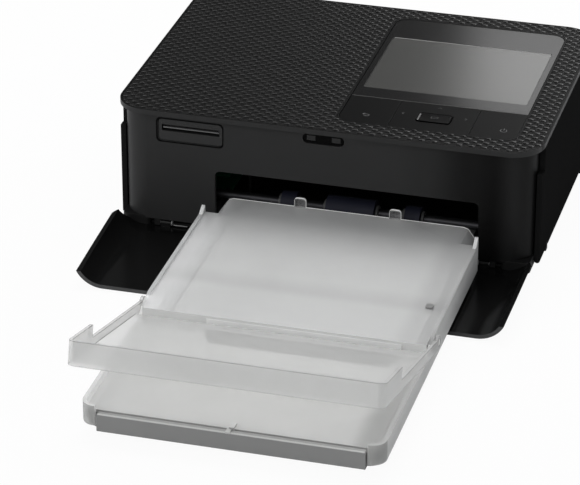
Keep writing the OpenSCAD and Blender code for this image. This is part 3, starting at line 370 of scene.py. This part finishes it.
def block(name, low, high, radius, segments=12):
    """Cube of a given size with its upright corners rounded."""
    bpy.ops.object.select_all(action="DESELECT")
    bpy.ops.mesh.primitive_cube_add(size=1, location=[(a + b) / 2 for a, b in zip(low, high)])
    piece = bpy.context.object
    piece.name = name
    piece.scale = [b - a for a, b in zip(low, high)]
    bpy.ops.object.transform_apply(location=True, rotation=True, scale=True)
    pick(piece, "EDGE", lambda edge: runs_along(edge, 2))
    bpy.ops.mesh.bevel(offset=radius, segments=segments, affect="EDGES")
    bpy.ops.object.mode_set(mode="OBJECT")
    return piece


case_low, case_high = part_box("front_panel")
for side in (-1, 1):
    near, far = sorted((side * foot_inner, side * (case_high[0] - behind_face)))
    foot = block(f"corner_foot_{side + 1}", (near, case_low[1] + behind_face, foot_bottom),
                 (far, case_low[1] + foot_length, case_low[2] + above_seam),
                 radius=foot_corner, segments=6)
    foot.data.materials.append(inner_black)
    rounded(foot, 0.3)
    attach(foot, "printer")

# ---- Top cover ----
# One moulding with an embossed checker of low points over its whole top, inside a narrow
# smooth rim. Hooks under it catch the case.
cover_low, cover_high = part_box("top_cover")
top_z = cover_high[2]
rim, relief_depth = 0.0008, 0.0007
cell_x, cell_y = 0.0026, 0.00209
first_peak = (0.0807, 0.05995)
steps_per_cell = 4
point_height, field_drop = 0.0003, 0.0001
cover_corner, panel_corner = 0.014, 0.006
field_gap, panel_gap, overlap = 0.0001, 0.0002, 0.002


def carve(piece, tool, operation="DIFFERENCE", solver="EXACT"):
    """Cuts a piece with a tool shape, or keeps what they share, and removes the tool."""
    bpy.ops.object.select_all(action="DESELECT")
    piece.select_set(True)
    bpy.context.view_layer.objects.active = piece
    cut = piece.modifiers.new("cut", "BOOLEAN")
    cut.operation = operation
    cut.object = tool
    cut.solver = solver
    bpy.ops.object.modifier_apply(modifier="cut")
    bpy.data.objects.remove(tool)


def paint(piece, *choices):
    """Gives each face the first finish whose rule it meets, and leaves the others."""
    finishes = piece.data.materials
    for finish, _ in choices:
        if finish.name not in finishes:
            finishes.append(finish)
    for face in piece.data.polygons:
        for finish, wanted in choices:
            if wanted(face):
                face.material_index = finishes.find(finish.name)
                break


cover_black = surface("cover_black", (0.004, 0.004, 0.004), 0.2, grain=0.25, depth=0.003,
                      specular=0.45)
rim_black = surface("rim_black", (0.006, 0.006, 0.006), 0.4, grain=0.25, depth=0.003,
                    specular=0.08)
cover = moulding("top_cover", rim_black)
pick(cover, "FACE", lambda face: face.normal.z > 0.99
     and face.calc_center_median().z > top_z - 0.0002)
bpy.ops.mesh.inset(thickness=rim, use_even_offset=True)
bpy.ops.mesh.extrude_region_move(TRANSFORM_OT_translate={"value": (0, 0, -relief_depth)})
bpy.ops.object.mode_set(mode="OBJECT")
rounded(cover, 0.35)
paint(cover, (case_black, lambda face: face.normal.y < -0.3))

# The points are drawn up from a fine grid that lies in the sunk field.
step_x, step_y = cell_x / steps_per_cell, cell_y / steps_per_cell
left_steps = math.ceil((first_peak[0] - cover_low[0]) / cell_x * steps_per_cell)
right_steps = math.ceil((cover_high[0] - first_peak[0]) / cell_x * steps_per_cell)
front_steps = math.ceil((first_peak[1] - cover_low[1]) / cell_y * steps_per_cell)
back_steps = math.ceil((cover_high[1] - first_peak[1]) / cell_y * steps_per_cell)
bpy.ops.object.select_all(action="DESELECT")
bpy.ops.mesh.primitive_grid_add(
    x_subdivisions=left_steps + right_steps, y_subdivisions=front_steps + back_steps, size=1,
    location=(first_peak[0] + (right_steps - left_steps) / 2 * step_x,
              first_peak[1] + (back_steps - front_steps) / 2 * step_y, top_z))
weave = bpy.context.object
weave.name = "top_cover_relief"
weave.data.materials.append(cover_black)
weave.scale = ((left_steps + right_steps) * step_x, (front_steps + back_steps) * step_y, 1)
bpy.ops.object.transform_apply(location=True, rotation=True, scale=True)
bpy.ops.object.mode_set(mode="EDIT")
bpy.ops.mesh.select_all(action="SELECT")
bpy.ops.mesh.region_to_loop()
bpy.ops.mesh.extrude_edges_move(TRANSFORM_OT_translate={"value": (0, 0, -relief_depth)})
bpy.ops.mesh.edge_face_add()
bpy.ops.object.mode_set(mode="OBJECT")
for corner in weave.data.vertices:
    if corner.co.z > top_z - relief_depth / 2:
        across = math.cos(math.pi * (corner.co.x - first_peak[0]) / cell_x)
        along = math.cos(math.pi * (corner.co.y - first_peak[1]) / cell_y)
        corner.co.z += point_height * max(across * along, 0) - field_drop

# It is trimmed to the field's outline, and opened round the control panel.
edge_in = rim + field_gap
outline = block("outline", (cover_low[0] + edge_in, cover_low[1] + edge_in, top_z - overlap),
                (cover_high[0] - edge_in, cover_high[1] - edge_in, top_z + overlap),
                radius=cover_corner - edge_in, segments=20)
panel_low, panel_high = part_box("menu_key")[0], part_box("screen_window")[1]
panel_in = edge_in + panel_gap
opening = block(
    "opening", (panel_low[0] - panel_in, panel_low[1] - panel_in, top_z - 1.5 * overlap),
    (panel_high[0] + panel_in, panel_high[1] + panel_in, top_z + 1.5 * overlap),
    radius=panel_corner + edge_in)
carve(outline, opening)
outline.data.materials.append(cover_black)
carve(weave, outline, "INTERSECT", "MANIFOLD")
bpy.ops.object.shade_smooth_by_angle(angle=math.radians(60))
seat(weave, "top_cover")

# The field between the points is left dull, and their tops are polished in the mould.
nodes, links = cover_black.node_tree.nodes, cover_black.node_tree.links
place = nodes.new("ShaderNodeTexCoord")
split = nodes.new("ShaderNodeSeparateXYZ")
links.new(place.outputs["Object"], split.inputs[0])
polish_from, dull = 0.00004, 0.8
polish = nodes.new("ShaderNodeMapRange")
polish.inputs["From Min"].default_value = top_z - field_drop
polish.inputs["From Max"].default_value = top_z - polish_from
polish.inputs["To Min"].default_value = dull
links.new(split.outputs["Z"], polish.inputs["Value"])
roughness = nodes["Principled BSDF"].inputs["Roughness"]
links.new(roughness.links[0].from_socket, polish.inputs["To Max"])
links.new(polish.outputs[0], roughness)

# ---- Screen ----
# A glossy printed window of acrylic is glued flush into the cover. The screen sits in a
# shallow recess behind its clear part, and a thin pale line shows along its back edge.
window_black = surface("window_black", (0.006, 0.006, 0.006), 0.2, grain=1.5, depth=0.0001,
                       specular=0.3, spread=0.02)
screen_grey = surface("screen_grey", (0.05, 0.05, 0.047), 0.22, grain=1.0, depth=0.0001,
                      specular=0.9, spread=0.02)
screen_line = surface("screen_line", (0.35, 0.35, 0.34), 0.3, grain=1.0, depth=0.0005)
lcd_low, lcd_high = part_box("lcd_module")
panel_z = panel_high[2]
left_border, right_border, front_border, back_border = 0.0014, 0.0012, 0.0048, 0.0008
view_low = (lcd_low[0] + left_border, lcd_low[1] + front_border)
view_high = (lcd_high[0] - right_border, lcd_high[1] - back_border)
recess, screen_back, screen_gap, front_bevel = 0.0004, 0.0008, 0.0001, 0.003
line_end, line_front, line_back, line_top = 0.0004, 0.00035, 0.00005, 0.00002
window = moulding("screen_window", window_black)
carve(window, block("pocket", (*view_low, panel_z - recess), (*view_high, panel_z + overlap),
                    radius=0.0006, segments=3))
rounded(window, 0.12)
# The window's front bevel takes the pale line finish, a painted highlight along its front edge.
paint(window, (screen_line, lambda face: face.normal.y < -0.3 and face.normal.z > 0.3
               and face.center.y < view_low[1] - front_bevel))
screen = block(
    "screen", (view_low[0] + screen_gap, view_low[1] + screen_gap, panel_z - screen_back),
    (view_high[0] - screen_gap, view_high[1] - recess, panel_z - screen_gap),
    radius=0.0005, segments=3)
screen.data.materials.append(screen_grey)
rounded(screen, 0.1)
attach(screen, "printer")
edge_line = block(
    "screen_edge", (view_low[0] + line_end, view_high[1] - line_front, panel_z - screen_back),
    (view_high[0] - line_end, view_high[1] - line_back, panel_z - line_top),
    radius=0.0001, segments=3)
edge_line.data.materials.append(screen_line)
rounded(edge_line, 0.03)
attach(edge_line, "printer")
coat(screen_grey, "lcd_module")

# ---- Keys ----
# Four thin satin keys lie flush with the window. Each stands on posts of its own over
# sprung steel domes on the control board.
key_black = surface("key_black", (0.004, 0.004, 0.004), 0.38, grain=0.25, depth=0.003,
                    specular=0.06)
ok_rim = surface("ok_rim", (0.001, 0.001, 0.001), 0.4, grain=0.25, depth=0.001, specular=0.02)
ok_slope = surface("ok_slope", (0.004, 0.004, 0.004), 0.15, grain=0.25, depth=0.001,
                   specular=0.9)
steel = surface("steel", (0.42, 0.42, 0.43), 0.34, grain=0.2, depth=0.002, Metallic=1)
board_green = surface("board_green", (0.01, 0.11, 0.05), 0.35, grain=0.5, depth=0.004)
for node in ("menu_key", "nav_key", "power_key"):
    rounded(moulding(node, key_black), 0.12)
coat(steel, "switch_domes")
coat(board_green, "control_board")

# The middle key has a flat rim in dull black, painted shade for the gap round the key, and a
# polished slope down to its dished centre.
ok_border, ok_slope_width, ok_dish = 0.0005, 0.0006, 0.0003
ok_key = moulding("ok_key", ok_rim)
ok_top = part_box("ok_key")[1][2]
pick(ok_key, "FACE", lambda face: face.normal.z > 0.99
     and face.calc_center_median().z > ok_top - 0.0001)
bpy.ops.mesh.inset(thickness=ok_border)
bpy.ops.mesh.inset(thickness=ok_slope_width, depth=-ok_dish)
bpy.ops.object.mode_set(mode="OBJECT")
paint(ok_key, (key_black, lambda face: face.select),
      (ok_slope, lambda face: 0.5 < face.normal.z < 0.98))
rounded(ok_key, 0.08)

# ---- Key marks ----
# Symbols screened on the keys in pale ink: a bent arrow, three small direction marks, a
# square on the middle key and the usual broken ring for power.
ink = surface("key_ink", (0.16, 0.16, 0.16), 0.5, grain=0.2, depth=0.002)
flattened = 0.15


def ink_line(name, points, width, body, height, closed=False):
    """Thin printed line through the given points, in millimetres, that lies on a key."""
    curve = bpy.data.curves.new(name, "CURVE")
    curve.dimensions = "3D"
    curve.bevel_depth = width / 2 / mm_per_m
    curve.bevel_resolution = 1
    curve.use_fill_caps = True
    spline = curve.splines.new("POLY")
    spline.points.add(len(points) - 1)
    for point, (x, y) in zip(spline.points, points):
        point.co = (x / mm_per_m, y / mm_per_m, 0, 1)
    spline.use_cyclic_u = closed
    piece = bpy.data.objects.new(name, curve)
    bpy.context.collection.objects.link(piece)
    bpy.ops.object.select_all(action="DESELECT")
    piece.select_set(True)
    bpy.context.view_layer.objects.active = piece
    bpy.ops.object.convert(target="MESH")
    piece = bpy.context.object
    piece.scale = (1, 1, flattened)
    piece.location = (0, 0, height)
    bpy.ops.object.transform_apply(location=True, rotation=True, scale=True)
    piece.data.materials.append(ink)
    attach(piece, body)


def arc(centre, radius, start, end, steps=20):
    """Points on a circle, from one angle to another in degrees."""
    turn = [math.radians(start + (end - start) * i / steps) for i in range(steps + 1)]
    return [(centre[0] + radius * math.cos(a), centre[1] + radius * math.sin(a)) for a in turn]


ink_line("mark_back", [(12.2, 43.0), (14.2, 43.0), *arc((14.2, 42.15), 0.85, 90, -90, 8),
                       (12.9, 41.3)], width=0.26, body="menu_key", height=panel_z)
ink_line("mark_back_tip", [(13.0, 43.8), (12.1, 43.0), (13.0, 42.2)],
         width=0.26, body="menu_key", height=panel_z)
ink_line("mark_left", [(28.6, 48.6), (27.7, 47.9), (28.6, 47.2)],
         width=0.24, body="nav_key", height=panel_z)
ink_line("mark_right", [(54.4, 49.4), (55.3, 48.7), (54.4, 48.0)],
         width=0.24, body="nav_key", height=panel_z)
ink_line("mark_up", [(41.3, 56.2), (42.1, 57.0), (42.9, 56.2)],
         width=0.24, body="nav_key", height=panel_z)
ink_line("mark_ok", [(40.6, 45.6), (43.4, 45.6), (43.4, 47.0), (40.6, 47.0)],
         width=0.22, body="ok_key", height=ok_top, closed=True)
power_x, power_y = 72.1, 42.3
ink_line("mark_power_ring", arc((power_x, power_y), 1.35, 125, 415),
         width=0.28, body="power_key", height=panel_z)
ink_line("mark_power_bar", [(power_x, power_y + 0.3), (power_x, power_y + 2)],
         width=0.28, body="power_key", height=panel_z)

# ---- Card slot ----
# The bezel is pressed into the front panel, in a sunk frame with a fine groove round it, where a
# dull black ring is painted shade. Behind it the card socket of folded steel shows as a light
# line across the slot.
bezel_black = surface("bezel_black", (0.012, 0.012, 0.012), 0.3, grain=0.3, depth=0.004,
                      specular=0.4)
deep_black = surface("deep_black", (0.002, 0.002, 0.002), 0.3, grain=0.5, depth=0.001,
                     specular=0.04)
rounded(moulding("card_slot_bezel", bezel_black), 0.25, segments=3)
slot_low, slot_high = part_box("card_slot_bezel")
face_y = slot_low[1]
ring_corner, ring_behind = 0.0019, 0.0004

# The ring of painted shade is a block lying on its back, less a narrower one.
discs = []
for left, right, below, above, depth in ((0.0012, 0.0004, 0.001, 0.0004, 0.0012),
                                         (0.0005, -0.0001, 0.0004, -0.0002, 0.003)):
    disc = block("card_slot_ring", (slot_low[0] - left, slot_low[2] - below, -depth / 2),
                 (slot_high[0] + right, slot_high[2] + above, depth / 2),
                 radius=ring_corner, segments=6)
    disc.rotation_euler = (math.pi / 2, 0, 0)
    disc.location = (0, face_y + ring_behind, 0)
    bpy.ops.object.transform_apply(location=True, rotation=True, scale=True)
    discs.append(disc)
ring, hollow = discs
carve(ring, hollow)
ring.data.materials.append(deep_black)
rounded(ring, 0.12)
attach(ring, "printer")

# The two folded edges of the card socket meet in a thin lip.
lip_left, lip_right, lip_front, lip_back = 0.0018, 0.0016, 0.0003, 0.0016
lip_bottom, lip_top = 0.049, 0.0495
lip_grey = surface("socket_lip", (0.16, 0.16, 0.16), 0.4, grain=0.3, depth=0.002, Metallic=0.5)
lip = block("socket_lip", (slot_low[0] + lip_left, face_y + lip_front, lip_bottom),
            (slot_high[0] - lip_right, face_y + lip_back, lip_top),
            radius=0.0001, segments=2)
lip.data.materials.append(lip_grey)
rounded(lip, 0.1)
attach(lip, "printer")
coat(steel, "card_reader")

# ---- Door catch ----
# A pill-shaped plate pressed into the front panel. Two magnets in it hold a steel striker
# in the front door.
magnet_grey = surface("magnet_grey", (0.028, 0.028, 0.028), 0.4, Metallic=0.4)
rounded(moulding("door_catch", deep_black), 0.4, segments=4)
rounded(moulding("catch_magnets", magnet_grey), 0.3)
coat(steel, "door_striker")

# ---- Front door ----
# A thin dish moulded in glossy black, with its polished side up when it lies open. Its rim and
# outer side are a paler grey, a painted highlight along the rim.
door_black = surface("door_black", (0.005, 0.005, 0.005), 0.22, grain=0.5, depth=0.001,
                     specular=0.3)
door_rim_highlight = surface("door_rim_highlight", (0.045, 0.045, 0.045), 0.35, grain=0.4, depth=0.002,
                   specular=0.5)
knuckle_front, door_end = -0.01, 0.085
door = rounded(moulding("front_door", door_black), 0.35, segments=3, edge_material=door_rim_highlight)
paint(door, (door_rim_highlight, lambda face: face.normal.z < 0.05 and face.normal.length > 0
             and (face.center.y < knuckle_front or abs(face.center.x) > door_end)))

# ---- Door pins ----
# Two knuckles on the door's rear edge turn on steel pins in the lower case. Each pin has
# a flat head inside its knuckle, and a thin leg of the left one's spring lies on the case.


def rod(name, radius, length, middle, sides):
    """Round bar that lies across the printer."""
    bpy.ops.object.select_all(action="DESELECT")
    bpy.ops.mesh.primitive_cylinder_add(vertices=sides, radius=radius, depth=length,
                                        rotation=(0, math.pi / 2, 0), location=middle)
    bpy.ops.object.transform_apply(location=True, rotation=True, scale=True)
    piece = bpy.context.object
    piece.name = name
    return piece


# The pins are a paler, less metallic grey than the other steel, painted light so their ends show
# as bright dots.
pin_bright = surface("pin_bright", (0.32, 0.32, 0.32), 0.4, grain=0.2, depth=0.002,
                     Metallic=0.3)
pin_low, pin_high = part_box("door_pins")
pin_y, pin_z = (pin_low[1] + pin_high[1]) / 2, (pin_low[2] + pin_high[2]) / 2
head_x, head_radius, head_length = 0.0666, 0.0011, 0.0006
leg_x, leg_radius, leg_length, leg_drop = -0.0628, 0.0002, 0.0062, 0.0006
for name, x, radius, length, drop in (
        ("pin_head_0", -head_x, head_radius, head_length, 0),
        ("pin_head_1", head_x, head_radius, head_length, 0),
        ("pin_spring_leg", leg_x, leg_radius, leg_length, leg_drop)):
    pin = rod(name, radius, length, (x, pin_y - drop, pin_z - drop), sides=20)
    pin.data.materials.append(pin_bright)
    rounded(pin, 0.1)
    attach(pin, "printer")
coat(pin_bright, "door_pins")

# ---- Cassette base ----
# A grey tray holds about ten sheets of postcard paper. Its right side is painted paler, painted
# light for the light that comes down through the clear cover.
base_grey = surface("cassette_grey", (0.25, 0.25, 0.246), 0.45, grain=0.35, depth=0.006)
base_painted_light = surface("cassette_grey_painted_light", (0.4, 0.4, 0.395), 0.45, grain=0.35, depth=0.006)
paper_white = surface("paper_white", (0.78, 0.78, 0.77), 0.6, grain=0.15, depth=0.004)
base_low, base_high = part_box("cassette_base")
side_reach = 0.0039
base = rounded(moulding("cassette_base", base_grey), 0.3, segments=3)
paint(base, (base_painted_light, lambda face: face.normal.x > 0.3
             and face.center.x > base_high[0] - side_reach))
coat(paper_white, "paper_stack")

# ---- Cassette cover ----
# The output deck, the riser, the front plate and the side walls are one frosted clear moulding,
# snapped over the base. Its edges have a painted highlight, and its rear rim a painted glow.
milky = {"Subsurface_Weight": 0.7, "Subsurface_Scale": 0.003, "Subsurface_Radius": (1, 1, 1)}
frost = {"grain": 0.6, "depth": 0.004}
frosted = surface("frosted_clear", (1, 1, 0.99), 0.42, **frost, Alpha=0.48, **milky)
# The rounded edges and the wall teeth take a paler, opaque copy of the frosted finish, a painted
# highlight.
frosted_edge = surface("frosted_edge", (0.88, 0.88, 0.87), 0.3, **frost, specular=0.4, **milky)
# The right wall's outer face and the forward-facing faces at the front take darker copies of the
# frosted finish, painted shade.
frosted_side_shade = surface("frosted_side_shade", (0.66, 0.66, 0.65), 0.42, **frost, Alpha=0.8, **milky)
frosted_corner_shade = surface("frosted_corner_shade", (0.4, 0.4, 0.39), 0.42, **frost, Alpha=0.8, **milky)
# The front plate takes a more opaque copy of the frosted finish, its tone painted for the light
# under the lid.
front_plate = surface("front_plate", (0.68, 0.68, 0.67), 0.42, **frost, Alpha=0.75, **milky)
# The riser's front takes a paler, opaque copy of the finish, painted light where the deck's
# front edge shades it.
riser_painted_light = surface("riser_painted_light", (0.74, 0.74, 0.73), 0.45, **frost)
clear_tab = surface("clear_tab", (0.5, 0.5, 0.5), 0.35, **frost, Alpha=0.2)
# The rear rim glows faintly of its own, painted light.
lit_edge = surface("lit_edge", (0.9, 0.9, 0.89), 0.3, **frost, specular=0.4,
                   Emission_Color=(1, 1, 0.98, 1), Emission_Strength=0.22)

# A band of painted shade lies across the deck at a shallow crease. Along its left edge the deck
# has painted light, and by its right wall painted shade.
deck_low, deck_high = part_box("cassette_cover")
banded(frosted, "Y", -0.075, 0.025,
       ((0.01, 0.96), (0.26, 0.96), (0.33, 0.85), (0.45, 0.96), (0.99, 0.96)))
banded(frosted, "X", -0.047, deck_high[0],
       ((0.01, 1), (0.04, 1), (0.11, 0.8), (0.85, 0.8), (0.92, 0.7), (0.99, 0.7)))
# Painted shade darkens the front plate towards its right side.
banded(front_plate, "X", 0.04, deck_high[0], ((0.01, 1), (0.45, 1), (0.7, 0.72), (0.99, 0.72)))

tab_height, tab_foot, tab_depth = 0.0042, 0.0001, 0.0013
rim_chamfer, rim_depth, rim_height = 0.0006, 0.0023, 0.0008
rail_corner, pane_border = 0.0013, 0.00045
tab_top = deck_high[2]
deck_level = tab_top - tab_height
rim_back = deck_high[1] - rim_chamfer
plate_back, plate_level, corner_back = -0.084, 0.0117, -0.1395
riser_back, riser_front = -0.071, -0.0752
deck = moulding("cassette_cover", frosted)
pick(deck, "EDGE", lambda edge: runs_along(edge, 1)
     and (edge.verts[0].co.z + edge.verts[1].co.z) / 2 > tab_top - 0.0001)
bpy.ops.mesh.bevel(offset=rail_corner, segments=5, affect="EDGES")
bpy.ops.object.mode_set(mode="OBJECT")
rounded(deck, 0.25, edge_material=frosted_edge)

# The faces are cut along the rear rim and the foot of its tabs, which are finished apart.
pick(deck, "FACE", lambda face: True)
bpy.ops.mesh.bisect(plane_co=(0, rim_back, 0), plane_no=(0, 1, 0))
pick(deck, "FACE", lambda face: face.normal.y > 0.9
     and face.calc_center_median().y > rim_back + 0.0002)
bpy.ops.mesh.bisect(plane_co=(0, 0, deck_level + tab_foot), plane_no=(0, 0, 1))
pick(deck, "FACE", lambda face: face.normal.y < -0.9
     and face.calc_center_median().y > rim_back - tab_depth
     and face.calc_center_median().z > deck_level + rim_height)
bpy.ops.mesh.inset(thickness=pane_border)
pane = {face.index for face in bmesh.from_edit_mesh(deck.data).faces if face.select}
bpy.ops.object.mode_set(mode="OBJECT")
plain = {face.index for face in deck.data.polygons if face.material_index == 0}
paint(deck,
      (clear_tab, lambda face: face.index in pane
       or (abs(face.normal.y) > 0.9 and face.center.z > deck_level + 2 * tab_foot)),
      (lit_edge, lambda face: face.center.y > rim_back - rim_depth
       and face.center.z > deck_level + rim_height),
      (lit_edge, lambda face: face.center.y > rim_back and face.normal.z > 0.3),
      (front_plate, lambda face: face.center.y < plate_back and face.normal.z > 0.9
       and face.index in plain),
      (riser_painted_light, lambda face: riser_front < face.center.y < riser_back
       and face.center.z > plate_level and face.normal.y < -0.2),
      (frosted_corner_shade, lambda face: face.center.y < corner_back and face.normal.y < -0.05),
      (frosted_side_shade, lambda face: face.center.x > deck_high[0] - 0.0003
       and face.normal.x > 0.9))

# ---- Wall teeth ----
# Each side wall of the cover ends in a tooth that stands up beside the narrower rear part
# of the deck, and slopes down forwards.
tooth_front, tooth_back, tooth_thick = 0.0094, 0.0142, 0.0015
tooth_foot, slope_foot = 0.0183, 0.0186
for number, (x, tooth_top) in enumerate(((deck_low[0], 0.0208),
                                         (deck_high[0] - tooth_thick, 0.0218))):
    tooth = block(f"wall_tooth_{number}", (x, tooth_front, tooth_foot),
                  (x + tooth_thick, tooth_back, tooth_top), radius=0.0003, segments=3)
    pick(tooth, "VERT", lambda corner: corner.co.z > (tooth_foot + tooth_top) / 2
         and corner.co.y < (tooth_front + tooth_back) / 2)
    bpy.ops.transform.translate(value=(0, 0, slope_foot - tooth_top))
    bpy.ops.object.mode_set(mode="OBJECT")
    tooth.data.materials.append(frosted_edge)
    rounded(tooth, 0.1)
    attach(tooth, "cassette")

# ---- Front bar ----
# The base ends in a grey bar that is gripped to pull the cassette out. It has a pale rim
# along its top, a groove behind that and a white rib across.
bar_top, bar_front = base_high[2], base_low[1]
bar_left, bar_right, rib_left, rib_right, sunk = -0.0424, 0.0615, 0.0078, 0.0097, 0.001
rim_white = surface("rim_white", (0.52, 0.52, 0.51), 0.42, grain=0.4, depth=0.004)
groove_grey = surface("groove_grey", (0.34, 0.34, 0.335), 0.5, grain=0.4, depth=0.004)
for name, left, right, front, back, rise, finish in (
        ("bar_rim", bar_left, bar_right, 0.0002, 0.0012, 0.0002, rim_white),
        ("bar_groove", bar_left, bar_right, 0.0014, 0.0029, 0.00008, groove_grey),
        ("bar_rib", rib_left, rib_right, 0.0001, 0.0036, 0.0006, rim_white)):
    strip = block(name, (left, bar_front + front, bar_top - sunk),
                  (right, bar_front + back, bar_top + rise), radius=0.0002, segments=2)
    strip.data.materials.append(finish)
    rounded(strip, 0.05)
    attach(strip, "cassette")

# ---- Deck hook ----
# A small dark plastic hook stands a little proud of the deck by its right wall, and is
# pressed into it from below.
hook_left, hook_right, hook_front, hook_back = 0.06, 0.063, -0.0436, -0.0402
hook_foot, hook_top = deck_level - 0.0002, deck_level + 0.0008
hook = block("deck_hook", (hook_left, hook_front, hook_foot), (hook_right, hook_back, hook_top),
             radius=0.0009, segments=5)
hook.data.materials.append(base_grey)
rounded(hook, 0.2)
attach(hook, "cassette")

# ---- Riser shade ----
# A dark grey sheet lies over the front plate just in front of the deck's riser, a little
# narrower at its front end: painted shade where the deck's front edge shades the plate. A pale
# strip stands along the riser behind it, painted light over the dark gap there.
shade_sheet_grey = surface("shade_sheet_grey", (0.12, 0.12, 0.118), 0.5, grain=0.4, depth=0.004)
strip_painted_light = surface("strip_painted_light", (0.92, 0.92, 0.91), 0.5, grain=0.4, depth=0.004)
sheet_left, sheet_right, sheet_front, sheet_back = -0.0215, 0.0575, -0.0826, -0.0727
sheet_bottom, sheet_top, strip_top = 0.01165, 0.01195, 0.0166
strip_back = sheet_back + 0.0003
sheet_corner, sheet_middle, front_share = 0.0022, 0.019, 0.93
shade_sheet = block("riser_shade_sheet", (sheet_left, sheet_front, sheet_bottom),
             (sheet_right, sheet_back, sheet_top), radius=sheet_corner, segments=6)
pick(shade_sheet, "VERT", lambda corner: corner.co.y < sheet_front + 1.2 * sheet_corner)
bpy.ops.transform.resize(value=(front_share, 1, 1), center_override=(sheet_middle, 0, 0))
bpy.ops.object.mode_set(mode="OBJECT")
shade_sheet.data.materials.append(shade_sheet_grey)
pale_strip = block("riser_strip", (sheet_left, sheet_back, sheet_bottom),
                    (sheet_right, strip_back, strip_top), radius=0.0001, segments=2)
pale_strip.data.materials.append(strip_painted_light)
for piece in (shade_sheet, pale_strip):
    rounded(piece, 0.06)
    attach(piece, "cassette")

# ---- Catch tray ----
# A thinner frosted lid on two round plastic pins, raised at an angle to catch the prints.
# It is moulded in one piece with its low walls, and darkens along their edges.
white_plastic = surface("white_plastic", (0.7, 0.7, 0.68), 0.45, grain=0.35, depth=0.005)
frosted_lid = surface("frosted_lid", (0.6, 0.6, 0.59), 0.42, **frost, Alpha=0.45, **milky)
lid_edge = surface("lid_edge", (0.2, 0.2, 0.198), 0.45, **frost, specular=0.1, Alpha=0.85)
lid = rounded(moulding("catch_tray", frosted_lid), 0.3, edge_material=lid_edge)

# So much light passes the lid that it throws no shadow of its own.
lid.visible_shadow = False
coat(white_plastic, "cassette_pivots")

# ---- Feet and screws ----
# Rubber feet are pressed into the lower case, and four steel screws hold it to the
# shells. The ink door turns on steel pins of its own.
foot_rubber = surface("foot_rubber", (0.015, 0.015, 0.015), 0.75, grain=0.3, depth=0.02)
coat(foot_rubber, "rubber_feet")
coat(steel, "case_screws", "ink_door_pins")

# ---- Steel frame ----
# A bent and blackened steel frame behind the mouth carries every shaft in bronze bushes,
# the gear posts and the two motors.
dark_steel = surface("dark_steel", (0.06, 0.06, 0.065), 0.45, grain=0.2, depth=0.003,
                     Metallic=1)
bronze = surface("bronze", (0.45, 0.27, 0.12), 0.4, grain=0.3, depth=0.006, Metallic=1)
coat(dark_steel, "chassis_frame")
coat(bronze, "shaft_bushes")
coat(steel, "gear_posts", "feed_motor", "ribbon_motor")

# ---- Rollers ----
# The pick-up roller of soft dark rubber takes a sheet off the stack, the steel feed and
# pinch rollers pull it, and a harder rubber platen bears it under the print head.
roller_rubber = surface("navy_rubber", (0.007, 0.008, 0.018), 0.65, grain=0.25, depth=0.02)
platen_rubber = surface("platen_rubber", (0.02, 0.02, 0.022), 0.6, grain=0.25, depth=0.015)
coat(roller_rubber, "pickup_rollers")
coat(platen_rubber, "platen_roller")
coat(dark_steel, "pickup_shaft")
coat(steel, "platen_shaft", "feed_roller", "pinch_roller")

# Small collars hold the pick-up rollers in place along their shaft.
collar_black = surface("collar_black", (0.07, 0.07, 0.07), 0.45, grain=0.3, depth=0.003)
shaft_low, shaft_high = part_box("pickup_shaft")
shaft_y, shaft_z = (shaft_low[1] + shaft_high[1]) / 2, (shaft_low[2] + shaft_high[2]) / 2
collar_radius, collar_width = 0.0034, 0.0011
collar_spots = (-0.0212, -0.0131, -0.0016, 0.0208, 0.0323, 0.0405)
for number, x in enumerate(collar_spots):
    collar = rod(f"collar_{number}", collar_radius, collar_width, (x, shaft_y, shaft_z),
                 sides=24)
    collar.data.materials.append(collar_black)
    rounded(collar, 0.2)
    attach(collar, "pickup")

# ---- Gears ----
# Moulded acetal gears turn with the shafts or run on the posts, and brass pinions that
# are pressed on the motors' shafts drive them.
acetal = surface("acetal", (0.55, 0.54, 0.5), 0.45, grain=0.4, depth=0.003)
brass = surface("brass", (0.6, 0.42, 0.16), 0.3, grain=0.3, depth=0.002, Metallic=1)
coat(acetal, "pickup_gear", "platen_gear", "feed_gear", "idler_gear", "pickup_idler_rear",
     "pickup_idler_front", "take_up_gear")
coat(brass, "motor_pinion", "ribbon_pinion")

# ---- Print head ----
# A strip of glazed ceramic with the heaters, glued to a steel carrier with cooling fins,
# which turns on a steel pivot over the platen.
ceramic = surface("ceramic", (0.5, 0.48, 0.44), 0.35, grain=0.3, depth=0.003)
coat(ceramic, "print_head")
coat(steel, "head_carrier", "head_pivot")

# ---- Main board ----
# A green glass-fibre board in the lower case, which drives the motors and the head. The
# sockets at the rear of the case are fixed to it.
coat(board_green, "main_board")

# ---- Ribbon cassette ----
# A grey plastic case, pushed in through the side, in which the dye film runs from its
# supply spool past the head to a white take-up spool.
ribbon_case = surface("ribbon_case", (0.3, 0.3, 0.31), 0.45, grain=0.35, depth=0.006)
ribbon = surface("ribbon", (0.02, 0.012, 0.09), 0.25, grain=0.5, depth=0.002)
coat(ribbon_case, "ink_cassette")
coat(ribbon, "ribbon_film", "supply_spool")
coat(white_plastic, "take_up_spool")
